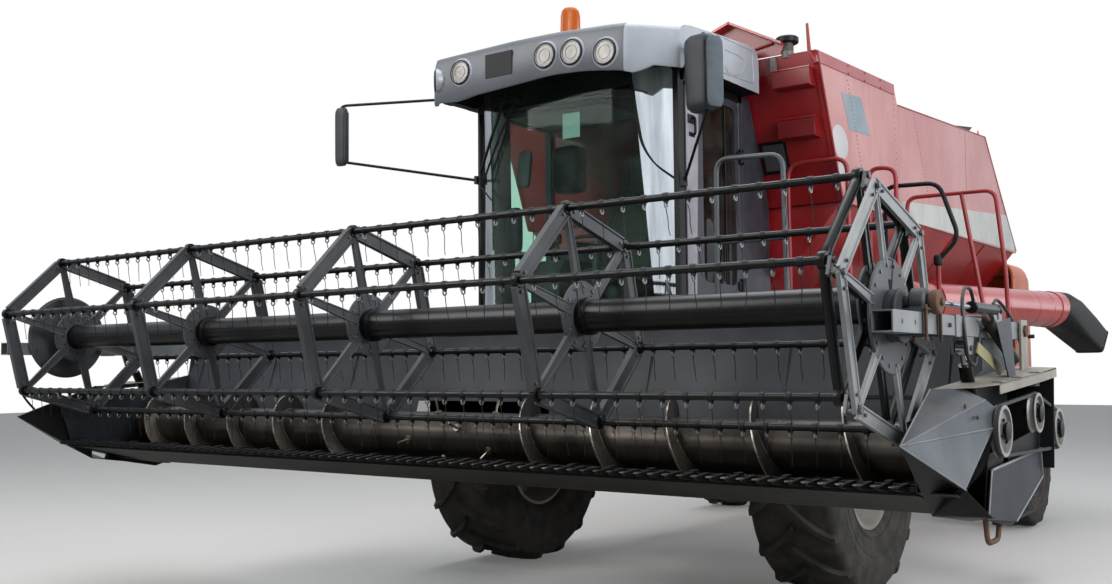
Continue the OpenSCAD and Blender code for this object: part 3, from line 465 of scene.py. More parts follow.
# enamel bleached by sun: chalky pink
fadedRed = coated("sun bleached red enamel", ("#bb7875", "#c88e89"), 0.42, dust=0.12, wear=0.1,
    wearTone="#8c3a38", dustTone="#c5a9a2", streak=0.35, streakTone="#a4504f", sheen=0.25,
    patch=1.2)
# half bleached enamel: dusky
bandRed = coated("weathered band enamel", ("#a2494b", "#ad5859"), 0.42, dust=0.12, wear=0.15,
    wearTone="#7a2f2e", dustTone="#b9938c", streak=0.3, streakTone="#8d3c3c", sheen=0.2)
# painted shade: red enamel made dark and full where it lies in shade
paintedShadeRed = coated("shaded deep red enamel", ("#7d1114", "#8f1619"), 0.36, dust=0.12, wear=0.15,
    dustTone="#9a6a60", sheen=0.2)
# enamelled tube: long soft highlights; its pink patches are a painted reflection of the sky
augerRed = coated("red tube with painted sky reflection", ("#a8302f", "#b95552"), 0.3, dust=0.15, wear=0.15,
    wearTone="#7a1f1e", dustTone="#c09a92", streak=0.3, streakTone="#8b2220", sheen=0.5, patch=1.4)
# film: flat slate blue
patchBlue = coated("blank slate patch", ("#7b8a93", "#8f9da5"), 0.5, dust=0.1, wear=0.0, streak=0.2,
    streakTone="#a98a8a")
# film: flat off white
patchWhite = coated("blank white patch", ("#b9b7b9", "#c9c6c6"), 0.5, dust=0.1, wear=0.0,
    streak=0.15, streakTone="#a39a9c")
# moulded sheet, faded: dull orange
orangeHood = coated("faded orange enamel", ("#b5532c", "#c96a3c"), 0.4, dust=0.15, wear=0.15,
    dustTone="#c5a48a")
# moulded, silver sprayed: broad soft gleam
roofSilver = coated("silver roof plastic", ("#a7adb4", "#b3b8be"), 0.36, metal=0.1, dust=0.1,
    wear=0.0, dustTone="#a8a79f", streak=0.12, streakTone="#6d7075", sheen=0.2)
# painted shade: the roof's silver made darker and matt for its front panel and the ribs on top
roofPaintedShade = coated("shaded roof panel", ("#5c6168", "#666b72"), 0.42, dust=0.12, wear=0.0,
    streak=0.1)
# film: pale and even
stripeGrey = coated("pale stripe film", ("#b9bcb6", "#c6c9c2"), 0.45, dust=0.12, wear=0.0,
    streak=0.3, streakTone="#8d8f88")
# brushed paint: black, low gleam
frameBlack = coated("black frame steel", ("#0a0b0d", "#131417"), 0.45, dust=0.1, wear=0.2,
    dustTone="#6b6255", gloss=0.22)
# welded plate: dull metal, brown edges
armGrey = coated("weathered arm steel", ("#4d4f52", "#66676a"), 0.42, metal=0.35, dust=0.25,
    wear=0.5, wearTone="#6b4a33")
# dipped tube: slate, thin highlight
railGrey = coated("grey rail enamel", ("#3b4046", "#4a5057"), 0.38, dust=0.2, wear=0.3)
# dipped tube: red, thin highlight
railRed = coated("red rail enamel", ("#8d1f22", "#a02a2b"), 0.38, dust=0.2, wear=0.3,
    wearTone="#5a1c1a")
# silver paint under mud dust: satin
rimPaint = coated("silver rim paint", ("#8d8c88", "#a3a19b"), 0.42, metal=0.2, dust=0.45, wear=0.3,
    dustTone="#7a6a55")
# cast iron: rough, no gleam
engineGrey = coated("cast engine grey", ("#3e4042", "#505254"), 0.6, dust=0.4)
# moulded tread: matt
rubber = plain("dusty tyre rubber", "#1b1a19", 0.85, bump=0.5, scale=40.0, other="#3b352d")
hoseRubber = plain("hose rubber", "#111113", 0.55, other="#1f1f20")  # drawn hose: even black
# moulded: deep black
blackPlastic = plain("black plastic", "#08090a", 0.5, other="#0f1012", gloss=0.25)
# grained: soft gleam
darkPlastic = plain("dark grey plastic", "#26292e", 0.5, other="#30343a", gloss=0.35)
# grained: violet grey
slatePlastic = plain("slate plastic", "#2e2f36", 0.45, other="#3a3b44", gloss=0.4)
roofLining = plain("grey roof lining", "#565e65", 0.8, other="#626a71")  # felt: no gleam
# drawn: thin bright lines
springSteel = plain("bright spring wire", "#7f8182", 0.34, 0.5, 0.05, other="#989a99")
# ribbed over a mirror
lampLens = plain("silvered lamp lens", "#8e8b88", 0.28, 0.25, 0.9, 55.0, other="#67645f")
doorGrey = plain("pale door lining", "#928f97", 0.45, other="#a3a1a9")  # moulded: pale satin
# woven: matt
seatCloth = plain("seat cloth", "#2f3a36", 0.9, bump=0.5, scale=300.0, other="#3a4641")
chrome = plain("chromed rod", "#c9ccd0", 0.12, 1.0, 0.02, other="#b4b8bc")  # plated: clean mirror
# scaled: matt brown
rustySteel = plain("rusted steel", "#4b3426", 0.75, 0.3, 0.6, 60.0, other="#6d5240")
# vapour coated: soft mirror
reflector = plain("lamp reflector", "#d8dadc", 0.18, 0.9, 0.1, other="#b9bcc0")
# clear from the front, mirrors at low angles
cabPane = paneOf("green cab glass", "#e2f2ec", 0.13, 0.02)
sidePane = paneOf("smoked side glass", "#565c5e", 0.3, 0.03)  # dark, with a clear mirror
glarePane = paneOf("glass with painted sky reflection", "#cfe6e0", 0.9, 0.04, 0.36)  # the same glass with painted reflection: streaks of a bright sky
skyPane = paneOf("glass with weaker painted sky reflection", "#cfe6e0", 0.7, 0.04, 0.2)  # weaker painted reflection streaks
amber = lensOf("amber lens", "#c25c06", 0.0)  # moulded: full orange
redLens = lensOf("red lens", "#8e0f12", 0.02)  # moulded: deep red, with a faint painted glow
yellowTag = plain("aged yellow plate", "#8c8660", 0.6, other="#9d9873")  # printed: dull yellow
paperWhite = plain("white card", "#c9d6d4", 0.7)  # flat white
print("materials ready")

# finishes of the solids that stay in view
for look, names in ((blackEnamel, ("feeder_house", "reel_lift_barrels", "header_lift_barrels")),
        (chrome, ("reel_lift_rods", "header_lift_rods")),
        (frameBlack, ("chassis", "knuckle_left", "knuckle_right")),
        (engineGrey, ("engine_block",))):
    for name in names:
        mesh = nodes[name].data
        mesh.materials.clear()
        mesh.materials.append(look)
        mesh.polygons.foreach_set("material_index", [0] * len(mesh.polygons))


def makeStage():
    # the reel's six bats fix where the picture was taken from
    view = {"place": (4.594, -4.559, -0.254), "yaw": 35.86, "pitch": 3.87, "roll": -0.467,
        "lens": 36.74}
    yaw, pitch, roll = (radians(view[k]) for k in ("yaw", "pitch", "roll"))
    ahead = Vector((-sin(yaw) * cos(pitch), cos(yaw) * cos(pitch), sin(pitch)))
    level = Vector((cos(yaw), sin(yaw), 0))
    above = level.cross(ahead)
    right = level * cos(roll) + above * sin(roll)
    up = above * cos(roll) - level * sin(roll)
    camera = bpy.data.objects.new("camera", bpy.data.cameras.new("camera"))
    camera.matrix_world = Matrix((right, up, -ahead)).transposed().to_4x4()
    camera.location = Vector(reelAt) + Vector(view["place"])
    camera.data.lens = view["lens"]
    camera.data.sensor_width = 36
    camera.data.clip_end = 200
    bpy.context.scene.collection.objects.link(camera)
    bpy.context.scene.camera = camera

    lights = [("key", (-6.0, -12.0, 9.0), 7.0, 1080, (1.0, 0.98, 0.95)),
        ("fill", (11.5, -5.0, 6.5), 6.0, 980, (0.95, 0.97, 1.0)),
        ("side", (10.0, 8.5, 4.5), 6.0, 260, (0.96, 0.98, 1.0)),
        ("top", (0.0, 0.5, 12.0), 9.0, 880, (0.97, 0.98, 1.0))]
    for name, place, size, power, tone in lights:
        lamp = bpy.data.lights.new(name, "AREA")
        lamp.size, lamp.energy, lamp.color = size, power, tone
        holder = bpy.data.objects.new(name, lamp)
        holder.location = place
        holder.rotation_mode = "QUATERNION"
        holder.rotation_quaternion = (Vector((0, -1, 1.2)) - Vector(place)).to_track_quat("-Z", "Y")
        bpy.context.scene.collection.objects.link(holder)

    world = bpy.data.worlds.new("studio")
    world.use_nodes = True
    bpy.context.scene.world = world
    tree = world.node_tree
    tree.nodes.clear()
    path = addNode(tree, "LightPath")
    ray, mirror = path.outputs["Is Camera Ray"], path.outputs["Is Glossy Ray"]
    place = addNode(tree, "TexCoord").outputs["Generated"]
    height = addNode(tree, "SeparateXYZ", None, {0: place}).outputs[2]
    cloud = noiseOf(tree, place, 2.6, 6.0, 0.6, (1.0, 1.0, 2.2))
    rise = spread(tree, height, 0.0, 0.6)
    sky = mixColour(tree, rise, linear("#c6ccd4"), linear("#e2e8f0"))
    sky = mixColour(tree, spread(tree, cloud, 0.45, 0.65, 0.6), sky, linear("#8f97a3"))
    level = spread(tree, mirror, 0.0, 1.0, 1.3, 0.3)
    lit = addNode(tree, "Background", None, {"Color": sky, "Strength": level})
    seen = addNode(tree, "Background", {"Color": (1, 1, 1, 1), "Strength": 1.0})
    mixed = addNode(tree, "MixShader", None, {0: ray, 1: lit.outputs[0], 2: seen.outputs[0]})
    addNode(tree, "OutputWorld", None, {"Surface": mixed.outputs[0]})

    # the floor shows pale, while what it sends back up to the machine stays that of dry ground
    paving, tree = newMaterial("pale floor")
    ray = addNode(tree, "LightPath").outputs["Is Camera Ray"]
    tone = mixColour(tree, ray, linear("#a9a9a5"), linear("#bfbfbc"))
    shader = addNode(tree, "BsdfPrincipled", {"Roughness": 0.8,
        "Emission Color": linear("#f4f4f2")}, {"Base Color": tone,
        "Emission Strength": product(tree, ray, 0.12)})
    show(paving, shader)
    mesh = bpy.data.meshes.new("floor")
    far = 40.0
    mesh.from_pydata([(-far, -far, 0), (far, -far, 0), (far, far, 0), (-far, far, 0)], [],
        [(0, 1, 2, 3)])
    mesh.materials.append(paving)
    floor = bpy.data.objects.new("floor", mesh)
    bpy.context.scene.collection.objects.link(floor)
    bpy.context.scene.view_settings.view_transform = "Standard"


makeStage()
print("stage ready")

reel = {"radius": 535, "phase": 104.1, "gap": 1457, "bat": 17, "tineDrop": 176, "tinePitch": 116,
    "tineClear": 62, "crank": (-30, -50)}
batTurns = [radians(reel["phase"] + 60 * k) for k in range(6)]
spiderAt = [i * reel["gap"] for i in range(-2, 3)]


def batAt(k, x=0.0, radius=None):
    turn = batTurns[k % 6]
    reach = reel["radius"] if radius is None else radius
    return np.array((x, reach * cos(turn), reach * sin(turn)))


def member(start, end, outline, endOutline=None):
    # a straight member whose section is given across the member and along x
    start, end = np.asarray(start, float), np.asarray(end, float)
    ahead = (end - start) / np.linalg.norm(end - start)
    side = np.cross(ahead, (1.0, 0, 0))
    side /= np.linalg.norm(side)
    out = np.cross(side, ahead)
    rings = []
    for place, section in ((start, outline), (end, endOutline or outline)):
        flat = np.asarray(section, float)
        rings.append(place + flat[:, :1] * side + flat[:, 1:] * out)
    return loft(rings)


def tray(width, depth, lip=9, sink=6):
    # a pressed section: raised lips along both edges on both faces
    w, d = width / 2, depth / 2
    half = [(-w, -d), (-w + lip, -d), (-w + lip + 3, -d + sink), (w - lip - 3, -d + sink),
        (w - lip, -d), (w, -d)]
    return half + [(x, -y) for x, y in reversed(half)]


def bolt(centre, axis, radius, height):
    # a six sided head that stands on a point
    return moved(prism(circleOf(6) * radius, axis, 0, height), centre)


def makeRotor():
    size = {"rimWidth": 76, "rimDepth": 34, "spokeHub": 58, "spokeTip": 36, "spokeDepth": 22,
        "disc": 170, "bolts": 12, "boltRing": 146, "cageTube": 22}
    bag = Bag()
    profile = [(0, -2930), (96, -2930), (96, -2916), (80, -2914)]
    for x in spiderAt[1:-1]:
        profile += [(80, x - 60), (93, x - 58), (93, x - 30), (88, x - 28), (88, x + 28),
            (93, x + 30), (93, x + 58), (80, x + 60)]
    profile += [(80, 2914), (96, 2916), (96, 2930), (0, 2930)]
    bag.add(lathe(profile, steps=64))
    for side in (-1, 1):
        bag.add(rod(30, side * 2925, side * 3160, steps=32), 1)
    bag.add(lathe([(0, 3158), (47, 3158), (50, 3164), (50, 3186), (44, 3192), (0, 3192)], steps=32),
        2)
    bag.add(bolt((3192, 0, 0), "x", 17, 12), 2)
    for i, x in enumerate(spiderAt):
        outer = i == 4
        bag.add(lathe([(86, x - 7), (size["disc"], x - 7), (size["disc"] + 3, x - 3),
            (size["disc"] + 3, x + 3), (size["disc"], x + 7), (86, x + 7)], steps=48, closed=True),
            3)
        for way in spotsOf(size["bolts"], reel["phase"] + 180 / size["bolts"], size["boltRing"]):
            for s in (-1, 1):
                bag.add(bolt(way + (x + s * 7, 0, 0), "x", 8, s * 7), 1)
            bag.add(rod(6, x + 6.5, x + 8, way * 0.78, steps=8), 4)
        for k in range(6):
            start, end = batAt(k, x, 118), batAt(k, x, 512)
            bag.add(member(start, end, tray(size["spokeHub"], size["spokeDepth"], 7, 5),
                tray(size["spokeTip"], size["spokeDepth"], 7, 5)), 0 if outer else 3)
            bag.add(lathe([(19, x - 17), (33, x - 17), (35, x - 13), (35, x + 13), (33, x + 17),
                (19, x + 17)], batAt(k) * (0, 1, 1), steps=24, closed=True), 0)
            for s in (-1, 1):
                spot = batAt(k, x + s * 17, 508)
                bag.add(bolt(spot, "x", 9, s * 7), 1)
            if outer:
                continue
            a, b = batAt(k, x), batAt(k + 1, x)
            ahead = (b - a) / np.linalg.norm(b - a)
            bag.add(member(a + ahead * 24, b - ahead * 24,
                tray(size["rimWidth"], size["rimDepth"], 10, 7)), 3)
            for share in (0.10, 0.90):
                spot = a + (b - a) * share
                bag.add(bolt(spot + (10, 0, 0), "x", 9, 9), 1)
    corners = [batAt(k, spiderAt[4]) for k in range(6)]
    middle = (corners[0] + corners[5]) / 2
    loop = rounded([middle] + corners + [middle], 70, 6)[:-1]
    bag.add(tube(loop, size["cageTube"], 14, closed=True))
    makePiece("reelRotor", "reel", bag, [blackEnamel, armGrey, rustySteel, reelGrey, blackPlastic],
        ["reel_rotor"], bevel=1.2)


def makeBat(k):
    centre = batAt(k)
    y, z = centre[1], centre[2]
    draw = np.random.default_rng(40 + k)
    bag = Bag()
    r = reel["bat"]
    profile = [(0, -2950), (r, -2950)]
    for x in spiderAt:
        start = max(x - 30, -2948)
        profile += [(r, start), (r + 1.6, start + 1), (r + 1.6, min(x + 29, 2938)),
            (r, min(x + 30, 2939))]
    profile += [(r, 2955), (0, 2955)]
    bag.add(lathe(profile, (0, y, z), steps=20))
    for i in range(4):
        first = spiderAt[i]
        count = int((reel["gap"] - 2 * reel["tineClear"]) // reel["tinePitch"]) + 1
        offset = (reel["gap"] - (count - 1) * reel["tinePitch"]) / 2
        for n in range(count):
            x = first + offset + n * reel["tinePitch"]
            bag.add(lathe([(r - 1, x - 14), (r + 3.5, x - 12), (r + 4, x), (r + 3.5, x + 12),
                (r - 1, x + 14)], (0, y, z), steps=14, closed=True), 1)
            bag.add(prism([(y - 8, z - r + 2), (y + 8, z - r + 2), (y + 8, z - r - 11),
                (y, z - r - 15), (y - 8, z - r - 11)], "x", x - 8, x + 8), 1)
            bag.add(torus((x, y, z - r - 20), "x", 11.5, 4.2, 12, 6), 2)
            lean, sway = draw.normal(0, 5), draw.normal(0, 6)
            top, drop = z - r - 29, reel["tineDrop"] - r - 30
            # the wire hangs down, bows rearward and carries a slight ripple
            t = np.linspace(0, 1, 9)
            wire = np.column_stack([x + sway * t ** 2 + 1.5 * np.sin(9 * t + n),
                y + 9 + (12 + lean) * t ** 2 - 9 * (1 - t) ** 6, top - drop * t])
            bag.add(tube(wire, np.linspace(2.3, 1.9, 9), 5), 3)
    dy, dz = reel["crank"]
    arm = [(y - 18, z + 14), (y + 16, z + 18), (y + dy + 18, z + dz - 4), (y + dy + 4, z + dz - 18),
        (y + dy - 18, z + dz - 8)]
    bag.add(prism(arm, "x", 2941, 2955), 4)
    bag.add(rod(9, 2940, 3012, (0, y + dy, z + dz), steps=16), 4)
    bag.add(bolt((3004, y + dy, z + dz), "x", 15, 11), 4)
    bag.add(bolt((2955, y, z), "x", 14, 8), 4)
    makePiece(f"bat{k + 1}", f"bat_{k + 1}", bag,
        [blackEnamel, blackPlastic, springSteel, tineWire, armGrey], [f"bat_{k + 1}"])


def makeCamRing():
    dy, dz = reel["crank"]
    size = {"face": 2994, "rimWidth": 64, "depth": 18, "disc": 235, "hub": 108}
    x = size["face"]
    shift = np.array((0, dy, dz))
    bag = Bag()
    # the ring and its spokes are in the pale paint, partly a painted highlight
    for k in range(6):
        a, b = batAt(k, x) + shift, batAt(k + 1, x) + shift
        ahead = (b - a) / np.linalg.norm(b - a)
        bag.add(member(a - ahead * 4, b + ahead * 4, tray(size["rimWidth"], size["depth"], 8, 6)))
        bag.add(member(batAt(k, x, 205) + shift, batAt(k, x, 520) + shift, tray(46, 16, 6, 5),
            tray(30, 16, 6, 5)))
        for share in (0.12, 0.88):
            bag.add(bolt(a + (b - a) * share + (5, 0, 0), "x", 8, 10), 1)
    # the disc has a keyhole notch that looks upward
    turn = np.linspace(radians(100), radians(440), 60)
    ring = np.column_stack([np.cos(turn), np.sin(turn)])
    outline = np.concatenate([ring * size["disc"], ring[::-1] * size["hub"]])
    bag.add(prism(outline + (dy, dz), "x", x - 8, x + 6), 2)
    gap = [(r * cos(radians(a)) + dy, r * sin(radians(a)) + dz) for r,
        a in ((size["disc"], 80), (size["disc"], 100), (150, 100), (150, 80))]
    bag.add(prism(gap, "x", x - 4, x + 2), 2)
    bag.add(torus((x, dy, dz), "x", size["disc"], 6, 56, 8), 2)
    for spot in spotsOf(16, 11, 207, (x + 6, dy, dz)):
        bag.add(bolt(spot, "x", 8, 6), 1)
    makePiece("camRing", "reel_cam", bag, [paleArmPaintAndHighlight, armGrey, reelGrey], ["reel_cam"],
        bevel=1.0)


def makeCarriage():
    bag = Bag()
    armX, armZ, half = 3104, -85, 42.5
    low, high = half + 0.6, half + 8
    for y in (-104, 78):
        for x0, z0, x1, z1 in ((-high, -high, high, -low), (-high, low, high, high),
                (-high, -high, -low, high), (low, -high, high, high)):
            bag.both(box((armX + x0, y, armZ + z0), (armX + x1, y + 26, armZ + z1)))
        for x in (armX - high - 6, armX + high + 6):
            bag.both(tube([(x, y + 13, armZ - high - 22), (x, y + 13, armZ + high + 22)], 6, 8), 1)
            bag.both(bolt((x, y + 13, armZ + high + 2), "z", 11, 9), 1)
    bag.both(box((armX - high - 12, -96, armZ + high), (armX + high + 12, 92, armZ + high + 9)))
    for y in (-84, 62):
        bag.both(box((armX - high - 4, y, armZ + high + 9), (armX + high + 4, y + 12, -31)))
    housing = [(30.6, armX - 30), (52, armX - 30), (60, armX - 22), (60, armX + 30),
        (52, armX + 40), (30.6, armX + 40)]
    bag.both(lathe(housing, steps=36, closed=True))
    bag.both(box((armX - 26, -60, -48), (armX + 34, 60, -18)))
    bag.both(tube([(armX, 60, 10), (armX, 1000, 10)], 12, 16), 2)
    bag.both(box((armX - 20, 46, -8), (armX + 20, 72, 28)), 1)
    drum = [(36.5, 2976), (104, 2976), (106, 2980), (106, 3036), (112, 3040), (112, 3052),
        (36.5, 3054)]
    bag.add(lathe(drum, (0, -30, -50), steps=48, closed=True))
    bag.add(lathe([(36, -3054), (290, -3054), (290, -3044), (276, -3040), (276, -3034),
        (120, -3032), (110, -3030), (36, -3030)], steps=64, closed=True))
    for spot in spotsOf(8, 22.5, 250, (-3034, 0, 0)):
        bag.add(bolt(spot, "x", 9, 8), 1)
    makePiece("reelCarriage", "reel_carriage", bag, [reelGrey, rustySteel, chrome],
        ["reel_carriage"], bevel=1.5)


def makeReelArms():
    bag = Bag()
    armX, armZ, half, wall = 3104, -85, 42.5, 6
    y0, y1 = -430, 1470
    outer = [(-half, -half), (half, -half), (half, half), (-half, half)]
    # square tube, open at its front end
    ring = []
    for y, scale in ((900, half - wall), (y0, half - wall), (y0, half), (y1, half)):
        ring.append([(armX + a / half * scale, y, armZ + b / half * scale) for a, b in outer])
    bag.both(loft(ring))
    for y, high in ((-330, 0.4), (-180, 0.4), (250, 8), (1200, 8)):
        bag.both(bolt((armX + half, y, armZ), "x", 11, high), 1)
    sleeve = half + 5
    bag.both(box((armX - sleeve, 330, armZ - sleeve), (armX + sleeve, 390, armZ + sleeve)))
    for x in (armX - 38, armX + 26):
        bag.both(prism([(500, -120), (620, -120), (590, -206), (530, -206)], "x", x, x + 12))
    bag.both(rod(12, armX - 44, armX + 44, (0, 560, -178), steps=20), 1)
    barrel = [(14, 720), (26, 720), (30, 726), (30, 744), (27, 748), (27, 1120), (31, 1124),
        (31, 1140), (0, 1140)]
    bag.both(lathe([(r, a) for r, a in barrel] + [(0, 1130), (14, 1130)], (armX, 0, 10), "y", 28,
        True), 2)
    bag.both(box((armX - 20, 1020, -44), (armX + 20, 1080, -14)))
    bag.both(box((armX - 24, 1090, -44), (armX + 24, 1150, 14)))
    bag.both(lathe([(20.6, armX - 52), (44, armX - 52), (44, armX + 52), (20.6, armX + 52)],
        (0, 1420, armZ), steps=32, closed=True))
    hose = [(armX + 6, 740, 38), (armX + 10, 690, 90), (armX + 20, 560, 96), (armX + 34, 460, 20),
        (armX + 52, 430, -120), (armX + 50, 470, -230), (armX + 44, 600, -262),
        (armX + 40, 660, -180), (armX + 48, 700, -90), (armX + 52, 900, -96)]
    bag.add(tube(hose, 8, 10, 60), 3)
    second = [(armX - 10, 1120, 38), (armX - 8, 1180, 70), (armX + 10, 1290, 20),
        (armX + 40, 1360, -90), (armX + 50, 1380, -150)]
    bag.add(tube(second, 8, 10, 50), 3)
    makePiece("reelArms", "reel_arms", bag, [paleArmPaintAndHighlight, rustySteel, blackEnamel, hoseRubber],
        ["reel_arms"], bevel=2.0)


makeRotor()
for number in range(6):
    makeBat(number)
makeCamRing()
makeCarriage()
makeReelArms()
print("reel ready")

header = {"half": 3050, "augerY": 660, "augerZ": -650, "drum": 140, "flight": 235}


def helix(start, end, inner, outer, pitch, thickness, hand, phase=0.0, perTurn=40):
    # x runs from start to end while the blade turns once for each pitch
    count = int(abs(end - start) / pitch * perTurn) + 2
    x = np.linspace(start, end, count)
    turn = phase + hand * (x - start) / pitch * 2 * pi
    rows = np.empty((count, 4, 3))
    corners = ((inner, -thickness / 2), (outer, -thickness / 2), (outer, thickness / 2),
        (inner, thickness / 2))
    for j, (radius, along) in enumerate(corners):
        rows[:, j, 0] = x + along
        rows[:, j, 1] = radius * np.cos(turn)
        rows[:, j, 2] = radius * np.sin(turn)
    return loft(rows)


def makeAuger():
    place = (0, header["augerY"], header["augerZ"])
    size = {"pitch": 470, "blade": 7, "edge": 9, "fingers": 14, "fingerRadius": 8, "fingerTip": 232,
        "inner": 560}
    bag = Bag()
    drum = header["drum"]
    profile = [(0, -2990), (25, -2990), (25, -2986), (drum, -2985)]
    for x in (-2200, -1400, -620, 620, 1400, 2200):
        profile += [(drum, x - 7), (drum + 2, x - 4), (drum + 2, x + 4), (drum, x + 7)]
    profile += [(drum, 2985), (25, 2986), (25, 2990), (0, 2990)]
    bag.add(lathe(profile, place, steps=72))
    bag.add(rod(25, -3055, 3055, place, steps=24), 1)
    flight = header["flight"]
    for hand in (-1, 1):
        blade = helix(hand * size["inner"], hand * 2965, drum - 4, flight - 6, size["pitch"],
            size["blade"], 1, 0.6)
        rim = helix(hand * size["inner"], hand * 2965, flight - 9, flight, size["pitch"],
            size["edge"], 1, 0.6)
        bag.add(moved(blade, place), 1).add(moved(rim, place), 2)
    for n in range(size["fingers"]):
        turn = 2.4 * n
        x = -500 + 1000 * n / (size["fingers"] - 1)
        way = np.array((0, cos(turn), sin(turn)))
        start = np.array(place) + (x, 0, 0) + way * (drum - 5)
        bag.add(tube([start, start + way * (size["fingerTip"] - drum)], size["fingerRadius"], 10),
            2)
        bag.add(tube([start, start + way * 14], 24, 14), 1)
    makePiece("headerAuger", "header_auger", bag, [augerSteel, flightSteel, polishedEdge],
        ["header_auger"])


def makeKnife():
    size = {"pitch": 76.2, "count": 80, "tip": -62}
    bag = Bag()
    bag.add(strip([(108, -752), (60, -745), (40, -747)], 9, "x", -header["half"], header["half"]))
    bag.add(prism([(44, -749), (110, -753), (110, -775), (90, -775), (50, -765)], "x",
        -header["half"], header["half"]), 3)
    for n in range(size["count"]):
        x = (n - (size["count"] - 1) / 2) * size["pitch"]
        rings = []
        for y, w, low, high in ((104, 17, -770, -736), (60, 17, -768, -730), (20, 13, -764, -733),
                (-30, 8, -758, -738), (size["tip"], 2.5, -751, -745)):
            rings.append([(x - w, y, low), (x + w, y, low), (x + w * 0.8, y, high),
                (x - w * 0.8, y, high)])
        bag.add(loft(rings), 1)
        blade = [(x - 36, 62), (x - 34, 40), (x - 10, -12), (x + 10, -12), (x + 34, 40),
            (x + 36, 62)]
        if n < size["count"] - 1:
            bag.add(prism([(a + 38, b) for a, b in blade], "z", -747, -743.5), 2)
        if n % 3 == 0:
            bag.add(box((x - 14, 52, -745), (x + 14, 100, -724)), 1)
    bag.add(box((-header["half"], 66, -743.4), (header["half"] - 4, 84, -736)))
    makePiece("knifeBar", "header", bag, [frameBlack, frameBlack, knifeSteel, frameBlack],
        ["knife_bar"], bevel=0.8)


def makePan():
    bag = Bag()
    half = header["half"]
    centre = np.array((header["augerY"], header["augerZ"]))
    turn = np.radians(range(-115, -14, 10))
    arc = np.column_stack([np.cos(turn), np.sin(turn)])
    floor = [(95, -775), *(centre + 262 * arc), (922, -650)]
    # side sheets left and right of the throat, with a lap seam half way up
    for start, end in ((-half, -540), (540, half)):
        for path, thickness, mark in ((floor, -7, 0), ([(922, -648), (1001, -408)], -7, 1),
                ([(1001, -402), (1080, -165), (1092, -20)], -7, 1),
                ([(1000, -418), (1004, -398)], 7, 2)):
            bag.add(strip(path, thickness, "x", start, end), mark)
    bag.add(strip(floor[:7], -7, "x", -540, 540))
    bag.add(strip([(986, -455), (1001, -402), (1080, -165), (1092, -20)], -7, "x", -540, 540), 1)
    for x in (-1800, 1800):
        bag.add(box((x - 3, 1096, -160), (x + 3, 1100, -24)), 2)
    # top beam with rolled edges, its pale lip as a painted highlight along the top edge, and the
    # low beam
    beam = [(1098, -152), (1098, -33), (1111, -20), (1195, -20), (1208, -33), (1208, -152),
        (1195, -165), (1111, -165)]
    lip = [(1086, -24), (1086, -12), (1150, -8), (1150, -22)]
    low = [(1000, -893), (1000, -817), (1012, -805), (1196, -805), (1208, -817), (1208, -893),
        (1196, -905), (1012, -905)]
    for outline, mark in ((beam, 3), (lip, 4), (low, 3)):
        bag.add(prism(outline, "x", -half, half), mark)
    rib = [(640, -920), (1010, -905), (1120, -820), (1200, -30), (1100, -30), (930, -640),
        (880, -810), (735, -914)]
    for x in (-2900, -2050, -1200, 1200, 2050, 2900):
        bag.add(prism(rib, "x", x - 4, x + 4), 3)
        bag.add(strip([(1010, -912), (1126, -824), (1206, -30)], 5, "x", x - 24, x + 24), 3)
    # underside of the trough
    bag.add(strip([(97, -784), *(centre + 271 * arc)], -2, "x", -half, half), 5)
    # rubber edge and stone lip in front of the floor
    bag.add(strip([(60, -778), (100, -782), (240, -800)], -5, "x", -half, half), 2)
    for n in range(61):
        x = -3000 + n * 100
        bag.add(lathe([(0, 0), (8, 0), (6, 4), (0, 5)], (x, 130, -786), "z", 8), 2)
    for n in range(26):
        x = -2900 + n * 232
        if abs(x) > 560:
            bag.add(lathe([(0, -4), (9, -3), (9, 0), (0, 0)], (x, 1079, -186), "y", 8), 2)
    makePiece("headerPan", "header", bag, [troughSteel, deckGrey, frameBlack, deckGrey, paleArmPaintAndHighlight,
        darkUnderside], ["header_pan"], bevel=1.2)


